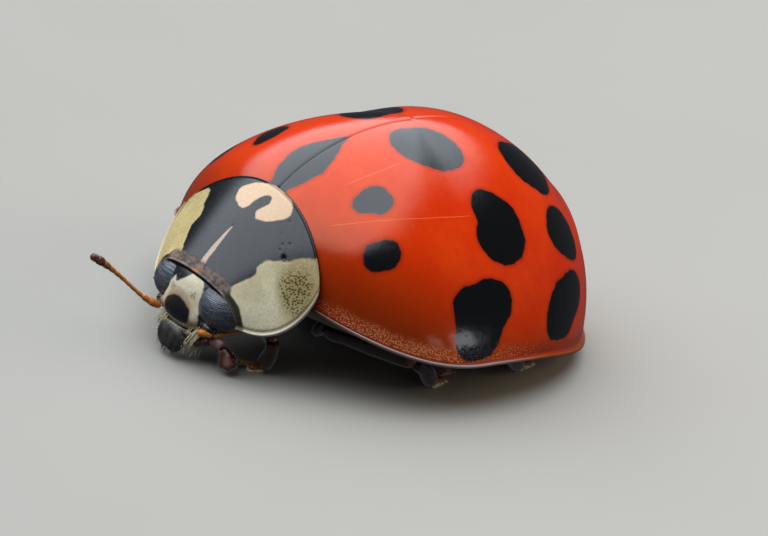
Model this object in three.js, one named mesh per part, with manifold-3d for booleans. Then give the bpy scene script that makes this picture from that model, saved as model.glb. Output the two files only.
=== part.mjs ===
// Harlequin ladybird (Harmonia axyridis), life size, standing with all six feet on the ground.
// Units are millimetres. +Z is up, the head looks along -Y and the insect's left side is +X.
// Body coordinates have z = 0 at the widest point of the wing-case rim; the outer group then
// lifts the body so that the flats of the feet lie at z = 0.

import * as THREE from 'three';
import { mergeVertices } from 'three/addons/utils/BufferGeometryUtils.js';
import Module from 'manifold-3d';

// ---------------------------------------------------------------- driving dimensions (mm)

const GAP = 0.02;                // clearance between neighbouring solids
const SLIVER = 0.004;            // detail finer than this is dropped
const RIM_HEIGHT = 0.72;         // ground to the wing-case rim at its widest point
const ORIGIN_SHIFT = 0.23;       // moves the middle of the whole length onto y = 0

const DOME_HALF_WIDTH = 2.8;     // half of the greatest width, across the wing cases
const DOME_REAR = 3.65;          // crown line back to the tip of the wing cases
const DOME_FRONT = 2.46;         // crown line forward to the front of the wing cases
const DOME_HEIGHT = 2.49;        // rim up to the crown
const CROWN_SOFTNESS = 0.08;     // rounds the ridge along the middle seam
const CROWN_Y = 0.316;           // the crown lies this far behind the widest point
const OUTLINE_REAR = 2.15;       // superellipse powers of the outline seen from above
const OUTLINE_FRONT = 2.3;
const ARCH_SIDE = 1.49;          // superellipse powers of the arch seen from the front ...
const ARCH_FRONT = 2.08;         // ... along the front half
const ARCH_REAR = 2.05;          // ... and along the rear half
const RIM_RISE = 0.099;          // the rim climbs forward as RISE * y^2
const RIM_FALL = 0.064;          // and sinks backward as FALL * y^2,
const RIM_FALL_MOST = 0.52;      // but never by more than this
const RIM_FALL_POWER = 6;        // how quickly the fall levels out

const WING_CASE_THICK = 0.5;
const SCUTELLUM_THICK = 0.06;
const SCUTELLUM_SPREAD = 0.19;   // radians across its base, about the crown
const SCUTELLUM_REACH = [0.3, 0.62];  // radians up the dome, base to tip
const BELLY_DEPTH = 0.42;        // underside of the body below the rim
const WAIST_Y = 0.35;            // where thorax ends and abdomen begins

const SHIELD_HALF_REAR = 1.55;   // pronotum: half width along its hind edge
const SHIELD_HALF_FRONT = 0.96;  // and along its front edge
const SHIELD_REAR_Y = -2.02;
const SHIELD_REAR_Z = 1.73;
const SHIELD_FRONT_Y = -3.3;
const SHIELD_FRONT_Z = 0.55;
const SHIELD_THICK = 0.28;
const SHIELD_SIDE_DROOP = [0.32, 0.03];   // fall towards the sides along the hind edge, x^2 and x^4
const SHIELD_NOSE_DROOP = [0.28, 0.34];   // and along the front edge, x^2 and x^6
const SHIELD_CORNER = 0.07;               // rounding of the hind corners
const SHIELD_REAR_BOW = 0.18;             // hind edge sweeps back in the middle by this much
const SHIELD_FRONT_BOW = 0.2;             // and the front edge runs forward there
const SHIELD_FLARE = 0.16;                // outward swell of the side edges
const SHIELD_CROWN = 0.03;                // upward swell between the two edges
const SHIELD_SIDE_SAG = 0.32;             // downward swell of the side edges
const SHIELD_NOSE_SWELL = 0.02;           // forward swell between the two edges

const HEAD = { at: [0, -2.8, 0.17], radii: [0.8, 0.58, 0.6] };
const EYE = { at: [0.5, -2.93, 0.24], radii: [0.36, 0.39, 0.35] };
const CLYPEUS = { at: [0, -3.22, -0.02], radii: [0.4, 0.18, 0.24] };
const LABRUM = { at: [0, -3.33, -0.43], radii: [0.27, 0.17, 0.22] };
const JAWS = { at: [0, -2.98, -0.3], radii: [0.42, 0.26, 0.3] };
const CHEST = { at: [0, -2.36, 0.42], radii: [1.05, 0.5, 0.66] };

const FEELER_RADIUS = 0.2;       // antennae and palps, thickened for a sturdy solid
const CLUB_RADIUS = 0.25;
const PALP_TIP_RADIUS = 0.22;
const THIGH_RADIUS = 0.27;
const SHIN_RADIUS = 0.25;
const FOOT_RADIUS = 0.25;
const ANKLE_HEIGHT = 0.16;       // centre of the foot above the ground

// Hip, knee, ankle and toe of each left leg. The right legs mirror them.
const LEGS = {
  fore: {
    hip: [0.34, -2.0, -0.3],
    knee: [1.12, -2.42, -0.12],
    ankle: [0.82, -2.2, -0.5],
    toe: [0.64, -2.43],
  },
  mid: {
    hip: [0.62, -1.1, -0.34],
    knee: [2.15, -0.8, -0.18],
    ankle: [1.98, -0.25, -0.5],
    toe: [1.8, 0.22],
  },
  hind: {
    hip: [0.55, 0.5, -0.4],
    knee: [2.2, 0.98, -0.26],
    ankle: [1.9, 1.62, -0.5],
    toe: [1.72, 2.1],
  },
};
const STRIDE = 0.14;             // alternate legs stand this far forward or back

// ---------------------------------------------------------------- materials

const finish = (color, roughness, metalness = 0) =>
  new THREE.MeshStandardMaterial({ color, roughness, metalness });

const materials = {
  wingCase: finish(0xd8340c, 0.18),
  shield: finish(0xe8dcbc, 0.3),
  face: finish(0x2a2a33, 0.35),
  eye: finish(0x3a404e, 0.3),
  feeler: finish(0xc06a1c, 0.4),
  leg: finish(0x6b2f12, 0.35),
  belly: finish(0x2b1a12, 0.5),
};

// ---------------------------------------------------------------- mesh and boolean helpers

const wasm = await Module();
wasm.setup();

/** Closed solid from a geometry: shared vertices merged, flat triangles dropped. */
function toSolid(geometry) {
  const bare = geometry.clone();
  bare.deleteAttribute('normal');
  bare.deleteAttribute('uv');
  const merged = mergeVertices(bare, 1e-4);
  const index = merged.index.array;
  const triVerts = [];
  for (let i = 0; i < index.length; i += 3) {
    const [a, b, c] = [index[i], index[i + 1], index[i + 2]];
    if (a !== b && b !== c && c !== a) triVerts.push(a, b, c);
  }
  return new wasm.Manifold(new wasm.Mesh({
    numProp: 3,
    vertProperties: new Float32Array(merged.attributes.position.array),
    triVerts: new Uint32Array(triVerts),
  }));
}

/** The biggest of the pieces that a cut leaves, so that a part stays one body. */
const largest = (solid) => solid.decompose().sort((a, b) => b.volume() - a.volume())[0];

/** Mesh of a solid, without the slivers that cutting leaves. */
function toGeometry(solid) {
  const mesh = largest(solid.simplify(SLIVER)).getMesh();
  const geometry = new THREE.BufferGeometry();
  geometry.setAttribute('position', new THREE.BufferAttribute(mesh.vertProperties, mesh.numProp));
  geometry.setIndex(new THREE.BufferAttribute(mesh.triVerts, 1));
  geometry.computeVertexNormals();
  return geometry;
}

/** Triangles of a grid of (rows + 1) x (columns + 1) points that start at vertex `first`. */
function gridFaces(first, rows, columns, flipped) {
  const faces = [];
  for (let i = 0; i < rows; i += 1) {
    for (let j = 0; j < columns; j += 1) {
      const a = first + i * (columns + 1) + j;
      const b = a + 1;
      const c = a + columns + 1;
      const d = c + 1;
      if (flipped) faces.push(a, c, b, b, c, d);
      else faces.push(a, b, c, b, d, c);
    }
  }
  return faces;
}

/**
 * A closed plate between two surfaces, each a function of (u, v) in 0..1 that gives a point.
 * A ring is a plate whose two side edges, u = 0 and u = 1, are the same line.
 */
function plate(outer, inner, rows, columns, ring = false) {
  const points = [];
  for (const surface of [outer, inner]) {
    for (let i = 0; i <= rows; i += 1) {
      for (let j = 0; j <= columns; j += 1) {
        points.push(...surface(j / columns, i / rows));
      }
    }
  }
  const layer = (rows + 1) * (columns + 1);
  const faces = [...gridFaces(0, rows, columns, false), ...gridFaces(layer, rows, columns, true)];
  const wall = (a, b) => faces.push(a, a + layer, b, b, a + layer, b + layer);
  const last = rows * (columns + 1);
  for (let j = 0; j < columns; j += 1) {
    wall(j, j + 1);
    wall(last + j + 1, last + j);
  }
  for (let i = 0; i < rows && !ring; i += 1) {
    const left = i * (columns + 1);
    const right = left + columns;
    wall(left + columns + 1, left);
    wall(right, right + columns + 1);
  }
  const geometry = new THREE.BufferGeometry();
  geometry.setAttribute('position', new THREE.Float32BufferAttribute(points, 3));
  geometry.setIndex(faces);
  return geometry;
}

/** An egg-shaped solid, grown on all sides by `grow`. */
function egg({ at, radii }, side = 1, grow = 0, across = 12, down = 8) {
  const geometry = new THREE.SphereGeometry(1, across, down);
  geometry.scale(radii[0] + grow, radii[1] + grow, radii[2] + grow);
  geometry.translate(at[0] * side, at[1], at[2]);
  return toSolid(geometry);
}

/** A limb segment with round ends, from one point to another, with a radius at each end. */
function limb(from, to, startRadius, endRadius = startRadius, grow = 0, sides = 8) {
  const start = new THREE.Vector3(...from);
  const end = new THREE.Vector3(...to);
  const length = start.distanceTo(end);
  const profile = [];
  const roundSteps = 3;
  for (let i = 0; i <= roundSteps; i += 1) {
    const angle = (i / roundSteps) * Math.PI / 2;
    const radius = startRadius + grow;
    profile.push(new THREE.Vector2(radius * Math.sin(angle), -radius * Math.cos(angle)));
  }
  for (let i = roundSteps; i >= 0; i -= 1) {
    const angle = (i / roundSteps) * Math.PI / 2;
    const radius = endRadius + grow;
    profile.push(new THREE.Vector2(radius * Math.sin(angle), length + radius * Math.cos(angle)));
  }
  const geometry = new THREE.LatheGeometry(profile, sides);
  const axis = end.clone().sub(start).normalize();
  const turn = new THREE.Quaternion().setFromUnitVectors(new THREE.Vector3(0, 1, 0), axis);
  geometry.applyQuaternion(turn);
  geometry.translate(start.x, start.y, start.z);
  return toSolid(geometry);
}

/** Everything in a large box, used to keep one side of a plane. */
function block(low, high) {
  const size = high.map((value, i) => value - low[i]);
  const geometry = new THREE.BoxGeometry(...size);
  geometry.translate(...low.map((value, i) => value + size[i] / 2));
  return toSolid(geometry);
}

const FAR = 20;
const DOME_ROWS = 9;
const DOME_COLUMNS = 20;       // along each wing case, from front to rear
const mirrored = (point, side) => [point[0] * side, point[1], point[2]];
const subtractAll = (solid, cutters) => cutters.reduce((left, cutter) => left.subtract(cutter), solid);
const join = (...solids) => solids.reduce((whole, solid) => whole.add(solid));

// ---------------------------------------------------------------- wing cases and body

/** Height of the wing-case rim, as a function of the distance behind the widest point. */
function rimHeight(y) {
  if (y < 0) return RIM_RISE * y * y;
  const fall = RIM_FALL * y * y;
  return -fall / (1 + (fall / RIM_FALL_MOST) ** RIM_FALL_POWER) ** (1 / RIM_FALL_POWER);
}

/**
 * A point of the domed back. `around` runs from the front (-90 degrees) past the left side (0)
 * to the rear (90); `up` runs from the rim (0) to the crown (90). `inset` moves it inwards.
 */
function domePoint(around, up, inset = 0, crown = DOME_HEIGHT - inset) {
  const x = Math.cos(around);
  const y = Math.sin(around);
  const rear = y > 0;
  const power = rear ? OUTLINE_REAR : OUTLINE_FRONT;
  const reach = (rear ? DOME_REAR : DOME_FRONT) - inset;
  const halfWidth = DOME_HALF_WIDTH - inset;
  const arch = ARCH_SIDE * x * x + (rear ? ARCH_REAR : ARCH_FRONT) * y * y;
  const radius = ((Math.abs(x) / halfWidth) ** power + (Math.abs(y) / reach) ** power) ** (-1 / power);
  const c0 = Math.max(Math.cos(up), 0);
  const scale = (c0 ** arch + Math.sin(up) ** arch) ** (-1 / arch);
  const out = c0 * scale;
  const soft = Math.sqrt(out ** 2 + CROWN_SOFTNESS ** 2 * (1 - out ** 2));
  const rise = (Math.max(1 - soft ** arch, 0) / (1 - CROWN_SOFTNESS ** arch)) ** (1 / arch);
  const rimY = radius * y;
  return [
    radius * x * out,
    CROWN_Y + (rimY - CROWN_Y) * out,
    rimHeight(rimY) * (1 - rise) + crown * rise,
  ];
}

/** The left or right wing case, a curved plate from the middle seam down to the rim. */
function wingCase(side) {
  const surface = (inset) => (u, v) => {
    const [x, y, z] = domePoint((u - 0.5) * Math.PI, v * Math.PI / 2, inset);
    return [side * (x + GAP / 2), y, z];
  };
  const outer = surface(0);
  const inner = surface(WING_CASE_THICK);
  const [first, second] = side > 0 ? [outer, inner] : [inner, outer];
  return toSolid(plate(first, second, DOME_ROWS, DOME_COLUMNS));
}

/** The whole dome as one block down to `floor`, for trimming what lies against it. */
function domeBlock(inset, floor, rows = DOME_ROWS, columns = 2 * DOME_COLUMNS) {
  const top = (u, v) => domePoint(u * 2 * Math.PI, v * Math.PI / 2, inset);
  const bottom = (u, v) => domePoint(u * 2 * Math.PI, v * Math.PI / 2, inset, -floor);
  return toSolid(plate(top, bottom, rows, columns, true));
}

/** Scutellum: the small triangle between the bases of the wing cases, flat on their surface. */
function scutellumSolid() {
  const surface = (lift) => (u, v) => {
    const aside = (u - 0.5) * SCUTELLUM_SPREAD * Math.max(1 - v, 0.02);
    const up = THREE.MathUtils.lerp(...SCUTELLUM_REACH, v);
    return domePoint(aside - Math.PI / 2, up, -lift);
  };
  return toSolid(plate(surface(GAP + SCUTELLUM_THICK), surface(GAP), 4, 4));
}

// ---------------------------------------------------------------- pronotum

/** A point of the pronotum: u runs from -1 (right) to 1 (left), v from the hind to the front edge. */
function shieldPoint(u, v) {
  const rearX = SHIELD_HALF_REAR * u;
  const rearY = SHIELD_REAR_Y - SHIELD_REAR_BOW * u * u;
  const rearZ = SHIELD_REAR_Z - SHIELD_SIDE_DROOP[0] * rearX ** 2 - SHIELD_SIDE_DROOP[1] * rearX ** 4;
  const frontX = SHIELD_HALF_FRONT * u;
  const frontY = SHIELD_FRONT_Y + SHIELD_FRONT_BOW * u * u;
  const frontZ = SHIELD_FRONT_Z - SHIELD_NOSE_DROOP[0] * frontX ** 2 - SHIELD_NOSE_DROOP[1] * frontX ** 6;
  const swell = Math.sin(Math.PI * v);
  const flare = SHIELD_FLARE * swell * (1 - v) * u ** 2;
  const corner = SHIELD_CORNER * u ** 10 * (1 - v) ** 8;
  return new THREE.Vector3(
    THREE.MathUtils.lerp(rearX, frontX, v) + (flare - corner) * Math.sign(u),
    THREE.MathUtils.lerp(rearY, frontY, v) - SHIELD_NOSE_SWELL * swell - corner / 2,
    THREE.MathUtils.lerp(rearZ, frontZ, v) + swell * (SHIELD_CROWN - SHIELD_SIDE_SAG * u ** 4),
  );
}

/** The same point moved inwards along the surface normal. */
function shieldInset(u, v, depth) {
  const step = 1e-3;
  const across = shieldPoint(u + step, v).sub(shieldPoint(u - step, v));
  const along = shieldPoint(u, Math.min(v + step, 1)).sub(shieldPoint(u, Math.max(v - step, 0)));
  const inwards = across.cross(along).normalize();
  return shieldPoint(u, v).addScaledVector(inwards, depth);
}

function shieldSolid(grow = 0) {
  const surface = (depth) => (u, v) => shieldInset(2 * u - 1, v, depth).toArray();
  return toSolid(plate(surface(SHIELD_THICK + grow), surface(-grow), 7, 18));
}

// ---------------------------------------------------------------- head

/** A feeler made of tapering links through a list of points, with a radius at each point. */
function feeler(points, radii, side, grow = 0) {
  const links = points.slice(1).map((point, i) =>
    limb(mirrored(points[i], side), mirrored(point, side), radii[i], radii[i + 1], grow, 7));
  return join(...links);
}

const ANTENNA_OUT = [
  [0.5, -3.42, -0.16],
  [0.66, -3.72, 0.05],
  [0.86, -4.05, 0.32],
  [0.98, -4.22, 0.42],
];
const ANTENNA_TUCKED = [
  [0.52, -3.3, -0.17],
  [0.66, -3.02, -0.2],
  [0.72, -2.84, -0.2],
];
const ANTENNA_RADII = [FEELER_RADIUS, FEELER_RADIUS, CLUB_RADIUS, CLUB_RADIUS];
const PALP = [
  [0.36, -3.1, -0.42],
  [0.6, -3.0, -0.44],
  [0.76, -2.94, -0.49],
];
const PALP_RADII = [FEELER_RADIUS, FEELER_RADIUS, PALP_TIP_RADIUS];

// ---------------------------------------------------------------- assembly

const group = new THREE.Group();
const body = new THREE.Group();
body.position.set(0, ORIGIN_SHIFT, RIM_HEIGHT);
group.add(body);

function addPart(name, solid, material) {
  const mesh = new THREE.Mesh(toGeometry(solid), material);
  mesh.name = name;
  body.add(mesh);
}

const domeGrown = domeBlock(-GAP, 1);
const shieldGrown = shieldSolid(GAP);
const eyesGrown = [1, -1].map((side) => egg(EYE, side, GAP));
const labrumGrown = egg(LABRUM, 1, GAP);

// Wing cases and scutellum
addPart('elytron_left', wingCase(1), materials.wingCase);
addPart('elytron_right', wingCase(-1), materials.wingCase);
addPart('scutellum', scutellumSolid().subtract(shieldGrown), materials.face);

// Pronotum
addPart('pronotum', shieldSolid().subtract(domeGrown), materials.shield);

// Antennae, the right one stretched forward and the left one folded back
const antennae = {
  left: { points: ANTENNA_TUCKED, side: 1 },
  right: { points: ANTENNA_OUT, side: -1 },
};
const antennaeGrown = Object.values(antennae).map(({ points, side }) =>
  feeler(points, ANTENNA_RADII, side, GAP));
for (const [name, { points, side }] of Object.entries(antennae)) {
  addPart(`antenna_${name}`, feeler(points, ANTENNA_RADII, side), materials.feeler);
}

// Palps
const palpCutters = [labrumGrown, ...antennaeGrown];
const palps = [1, -1].map((side) => subtractAll(feeler(PALP, PALP_RADII, side), palpCutters));
const palpsGrown = [1, -1].map((side) => feeler(PALP, PALP_RADII, side, GAP));
addPart('palp_left', palps[0], materials.feeler);
addPart('palp_right', palps[1], materials.feeler);

// Head with clypeus and jaws, labrum and eyes
const headRaw = join(egg(HEAD, 1, 0, 14, 9), egg(CLYPEUS, 1, 0, 10, 6), egg(JAWS, 1, 0, 10, 6));
const headCutters = [shieldGrown, labrumGrown, ...eyesGrown, ...antennaeGrown, ...palpsGrown];
addPart('head', subtractAll(headRaw, headCutters), materials.face);
addPart('labrum', subtractAll(egg(LABRUM), antennaeGrown), materials.face);
const eyeCutters = [shieldGrown, ...antennaeGrown];
addPart('eye_left', subtractAll(egg(EYE, 1), eyeCutters), materials.eye);
addPart('eye_right', subtractAll(egg(EYE, -1), eyeCutters), materials.eye);

// Legs
const thighsGrown = [];
const shinsGrown = [];
const ground = block([-FAR, -FAR, -RIM_HEIGHT], [FAR, FAR, FAR]);
Object.entries(LEGS).forEach(([pair, leg], row) => {
  for (const side of [1, -1]) {
    const name = `${pair}_leg_${side > 0 ? 'left' : 'right'}`;
    const step = (row % 2 === 0 ? side : -side) * -STRIDE / 2;
    const hip = mirrored(leg.hip, side);
    const placed = ([x, y, z]) => [x * side, y + step, z];
    const knee = placed(leg.knee);
    const ankle = placed(leg.ankle);
    const heel = placed([leg.ankle[0], leg.ankle[1], ANKLE_HEIGHT - RIM_HEIGHT]);
    const toe = placed([...leg.toe, ANKLE_HEIGHT - RIM_HEIGHT]);
    const thigh = (grow) => limb(hip, knee, THIGH_RADIUS, SHIN_RADIUS, grow);
    const shin = (grow) => limb(knee, ankle, SHIN_RADIUS, FOOT_RADIUS, grow);
    const foot = (grow) => limb(heel, toe, FOOT_RADIUS, FOOT_RADIUS, grow);
    const bodyCutters = [shieldGrown];
    const thighSolid = subtractAll(thigh(0), [...bodyCutters, foot(GAP)]);
    addPart(`${name}_femur`, thighSolid, materials.leg);
    const shinSolid = subtractAll(shin(0), [...bodyCutters, thigh(GAP), foot(GAP)]);
    addPart(`${name}_tibia`, shinSolid, materials.leg);
    addPart(`${name}_tarsus`, foot(0).intersect(ground), materials.leg);
    thighsGrown.push(thigh(GAP));
    shinsGrown.push(shin(GAP));
  }
});

// Thorax, abdomen and the chest below the pronotum
const legCutters = [...thighsGrown, ...shinsGrown];
const trunk = domeBlock(WING_CASE_THICK + GAP, BELLY_DEPTH, 6, 28);
const thorax = trunk.intersect(block([-FAR, -FAR, -FAR], [FAR, WAIST_Y - GAP / 2, FAR]));
const abdomen = trunk.intersect(block([-FAR, WAIST_Y + GAP / 2, -FAR], [FAR, FAR, FAR]));
addPart('thorax', subtractAll(thorax, legCutters), materials.belly);
addPart('abdomen', subtractAll(abdomen, legCutters), materials.belly);
const headGrown = join(egg(HEAD, 1, GAP), egg(JAWS, 1, GAP));
const chestCutters = [domeGrown, shieldGrown, headGrown, ...eyesGrown, ...antennaeGrown, ...legCutters];
addPart('prothorax', subtractAll(egg(CHEST), chestCutters), materials.belly);

export default group;
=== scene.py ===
import bpy
import math
import numpy as np
from mathutils import Matrix, Vector


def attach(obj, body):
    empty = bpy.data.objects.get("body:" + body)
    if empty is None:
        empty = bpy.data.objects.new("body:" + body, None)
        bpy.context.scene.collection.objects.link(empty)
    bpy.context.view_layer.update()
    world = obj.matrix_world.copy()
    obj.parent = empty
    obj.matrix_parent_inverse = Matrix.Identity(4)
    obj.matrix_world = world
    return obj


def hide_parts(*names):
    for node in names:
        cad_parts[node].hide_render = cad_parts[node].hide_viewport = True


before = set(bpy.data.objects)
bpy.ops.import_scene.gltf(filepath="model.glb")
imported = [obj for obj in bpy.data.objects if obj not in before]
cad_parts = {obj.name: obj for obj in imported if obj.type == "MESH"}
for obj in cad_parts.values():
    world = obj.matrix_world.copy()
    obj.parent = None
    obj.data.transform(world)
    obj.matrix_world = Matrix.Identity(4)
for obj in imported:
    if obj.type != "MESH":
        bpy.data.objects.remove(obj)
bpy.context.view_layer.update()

# Lengths below are millimetres in body coordinates: z = 0 at the widest point of the wing-case rim,
# the head looks along -Y and the insect's left side is +X. piece() moves them into the frame.
MM = 0.001
RIM_HEIGHT = 0.72
ORIGIN = np.array([0.0, 0.23, RIM_HEIGHT])
FLOOR = -RIM_HEIGHT
TAU = 2 * math.pi
SIDES = {"left": 1, "right": -1}
FAR = 9.0                          # stands for "nowhere near" in a distance mark


# ------------ camera

VIEW_AZIMUTH, VIEW_HEIGHT, VIEW_ROLL = 0.770862, 0.391961, 0.225965
PIXELS_PER_MM, BODY_PIXEL = 70.8925, (359.13, 280.41)
CAMERA_MM, SENSOR_WIDTH = 134.39, 36.0
PICTURE = (768, 536)


def aim_camera():
    """The photograph's view: a long lens, turned with the leaf that the insect stood on."""
    a, e, roll = VIEW_AZIMUTH, VIEW_HEIGHT, VIEW_ROLL
    back = np.array([math.sin(a) * math.cos(e), -math.cos(a) * math.cos(e), math.sin(e)])
    level = np.array([math.cos(a), math.sin(a), 0.0])
    rise = np.cross(back, level)
    right = math.cos(roll) * level + math.sin(roll) * rise
    up = -math.sin(roll) * level + math.cos(roll) * rise
    aside = (PICTURE[0] / 2 - BODY_PIXEL[0]) / PIXELS_PER_MM
    above = (BODY_PIXEL[1] - PICTURE[1] / 2) / PIXELS_PER_MM
    at = (ORIGIN + back * CAMERA_MM + right * aside + up * above) * MM
    data = bpy.data.cameras.new("camera")
    data.sensor_width = SENSOR_WIDTH
    data.lens = PIXELS_PER_MM * CAMERA_MM / PICTURE[0] * SENSOR_WIDTH
    data.clip_start, data.clip_end = 0.001, 2.0
    camera = bpy.data.objects.new("camera", data)
    bpy.context.collection.objects.link(camera)
    camera.matrix_world = Matrix([[right[i], up[i], back[i], at[i]] for i in range(3)] + [[0, 0, 0, 1]])
    bpy.context.scene.camera = camera


# ------------ small sums

def unit(v):
    v = np.asarray(v, float)
    return v / (np.linalg.norm(v, axis=-1, keepdims=True) + 1e-12)


def smoothstep(low, high, x):
    """0 at low, 1 at high, smooth between; it falls where low is the greater."""
    t = np.clip((np.asarray(x, float) - low) / (high - low), 0, 1)
    return t * t * (3 - 2 * t)


def bell(x, width):
    """A smooth bump: 1 at 0, almost nothing two widths away."""
    return np.exp(-(x / width) ** 2)


def bend(four_points, steps):
    """A smooth stretch from the second to the third of four points."""
    p0, p1, p2, p3 = four_points
    t = np.linspace(0, 1, steps, endpoint=False)[:, None]
    return 0.5 * (2 * p1 + (p2 - p0) * t + (2 * p0 - 5 * p1 + 4 * p2 - p3) * t ** 2
                  + (3 * p1 - p0 - 3 * p2 + p3) * t ** 3)


def curve_through(points, count):
    """A smooth curve through points, as count points evenly spaced along its length."""
    points = np.asarray(points, float)
    ends = np.vstack([2 * points[0] - points[1], points, 2 * points[-1] - points[-2]])
    dense = np.vstack([bend(ends[i:i + 4], 40) for i in range(len(points) - 1)] + [points[-1:]])
    length = np.concatenate([[0], np.cumsum(np.linalg.norm(np.diff(dense, axis=0), axis=1))])
    at = np.linspace(0, length[-1], count)
    return np.stack([np.interp(at, length, dense[:, i]) for i in range(3)], -1)


def frames_along(path):
    """Tangent, side and normal at each point of a path, without twist."""
    tangent = unit(np.gradient(path, axis=0))
    side = np.zeros_like(path)
    side[0] = unit(np.cross(tangent[0], [0.3, 0.1, 1.0]))
    for i in range(1, len(path)):
        side[i] = unit(side[i - 1] - tangent[i] * np.dot(side[i - 1], tangent[i]))
    return tangent, side, np.cross(tangent, side)


def normals_of(points, outward):
    """Normals of a grid surface, on the side of `outward`."""
    normal = unit(np.cross(np.gradient(points, axis=1), np.gradient(points, axis=0)))
    return normal * np.sign((normal * outward).sum(-1, keepdims=True))


def within(draw, *ranges):
    """A random point: each pair is a range to draw a coordinate from, each plain number stays as it is."""
    return np.array([draw.uniform(*one) if isinstance(one, tuple) else one for one in ranges])


# ------------ meshes

def grid_faces(rows, columns, wrap=False, first=0, flip=False):
    """Quads of a grid of rows x columns points, numbered from `first`."""
    i, j = np.meshgrid(np.arange(rows - 1), np.arange(columns - (0 if wrap else 1)), indexing="ij")
    k = (j + 1) % columns
    quads = np.stack([i * columns + j, i * columns + k, (i + 1) * columns + k, (i + 1) * columns + j], -1)
    quads = quads.reshape(-1, 4) + first
    return (quads[:, ::-1] if flip else quads).tolist()


def joined(parts):
    """Several (points, faces) as one."""
    points, faces, first = [], [], 0
    for p, f in parts:
        points.append(p)
        faces += [[v + first for v in face] for face in f]
        first += len(p)
    return np.vstack(points), faces


MERGE_DISTANCE = 1e-5


def merge_points(points, faces):
    """Merges points that coincide and drops faces that collapse. Returns points, faces, old indices."""
    places = np.round(points / MERGE_DISTANCE).astype(np.int64)
    _, firsts, merged = np.unique(places, axis=0, return_index=True, return_inverse=True)
    merged = merged.reshape(-1)
    loops = [list(dict.fromkeys(merged[face].tolist())) for face in faces]
    return points[firsts], [loop for loop in loops if len(loop) > 2], firsts


def piece(name, points, faces, material, nodes=(), marks=None, merge=True):
    """One visible piece, riding on the body. marks are numbers per point that its material reads.

    Without faces, the points are a grid whose rows close into rings.
    """
    faces = faces or grid_faces(*points.shape[:2], wrap=True)
    points = np.asarray(points, float).reshape(-1, 3)
    kept = slice(None)
    if merge:
        points, faces, kept = merge_points(points, faces)
    mesh = bpy.data.meshes.new(name)
    mesh.from_pydata(((points + ORIGIN) * MM).tolist(), [], faces)
    for label, values in (marks or {}).items():
        layer = mesh.attributes.new(label, "FLOAT", "POINT")
        layer.data.foreach_set("value", np.asarray(values, np.float32).reshape(-1)[kept])
    mesh.materials.append(material)
    mesh.shade_smooth()
    mesh.validate()
    made = bpy.data.objects.new(name, mesh)
    bpy.context.collection.objects.link(made)
    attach(made, "root")
    if nodes:
        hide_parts(*nodes)
    return made


def tube(path, radii, sides, flat=1.0, flat_axis=None):
    """A closed tube. radii is one per point; flat squeezes it along flat_axis."""
    tangent, side, normal = frames_along(path)
    if flat_axis is not None:
        normal = unit(flat_axis - tangent * (tangent @ np.asarray(flat_axis))[:, None])
        side = np.cross(normal, tangent)
    angle = np.linspace(0, TAU, sides, endpoint=False)[None, :, None]
    ring = side[:, None, :] * np.cos(angle) + normal[:, None, :] * np.sin(angle) * flat
    points = path[:, None, :] + ring * np.asarray(radii, float)[:, None, None]
    faces = grid_faces(len(path), sides, wrap=True)
    faces.append(list(range(sides))[::-1])
    faces.append([(len(path) - 1) * sides + i for i in range(sides)])
    return points.reshape(-1, 3), faces


def round_ends(count, start, end):
    """Factors along a limb that round its two ends, each over a share of the length."""
    t = np.linspace(0, 1, count)
    factors = np.ones(count)
    for share, reach in ((t, start), (1 - t, end)):
        factors *= np.sqrt(np.clip(1 - (1 - np.clip(share / reach, 0, 1)) ** 2, 0.0005, 1))
    return factors


def limb(points, rings, stations, sides, ends=None, flat=1.0, flat_axis=None):
    """A tube along a smooth curve. stations are (share of the length, radius); ends go to round_ends."""
    radii = np.interp(np.linspace(0, 1, rings), *zip(*stations))
    if ends:
        radii *= round_ends(rings, *ends)
    return tube(curve_through(points, rings), radii, sides, flat, flat_axis)


# ------------ rounded bodies

def ellipsoid(p, at, radii, side=1):
    """Distance (about, negative inside) from an ellipsoid; side -1 mirrors it."""
    q = (p - np.array([at[0] * side, at[1], at[2]])) / np.array(radii)
    k0 = np.linalg.norm(q, axis=-1)
    k1 = np.linalg.norm(q / np.array(radii), axis=-1) + 1e-9
    return k0 * (k0 - 1) / k1


def blend_min(a, b, k):
    """Both bodies, with a fillet of size k between them."""
    h = np.clip(0.5 + 0.5 * (b - a) / k, 0, 1)
    return b * (1 - h) + a * h - k * h * (1 - h)


def carve(a, b, k):
    """Body a without body b, its new edges softened by k."""
    return -blend_min(-a, b, k)


def directions(rows, columns):
    """Unit directions all round, in rows from the top down."""
    polar = np.linspace(0.0, math.pi, rows)[:, None]
    turn = np.linspace(0, TAU, columns, endpoint=False)[None, :]
    return np.stack([np.sin(polar) * np.cos(turn), np.sin(polar) * np.sin(turn),
                     np.cos(polar) * np.ones_like(turn)], -1)


STAR_STEPS, STAR_PACE = 70, 0.7


def star(field, centre, rows, columns, far):
    """The surface of a field as seen from its centre, at most `far` away, in (rows, columns, 3) points."""
    way = directions(rows, columns)
    reach = np.full(way.shape[:2], far)
    for _ in range(STAR_STEPS):
        reach = np.clip(reach - STAR_PACE * field(centre + way * reach[..., None]), 0.001, far)
    return centre + way * reach[..., None]


# ------------ material helpers

def rgb(red, green, blue):
    """sRGB 0..255 to a linear colour."""
    def linear(v):
        v /= 255.0
        return v / 12.92 if v <= 0.04045 else ((v + 0.055) / 1.055) ** 2.4
    return (linear(red), linear(green), linear(blue), 1.0)


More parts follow.
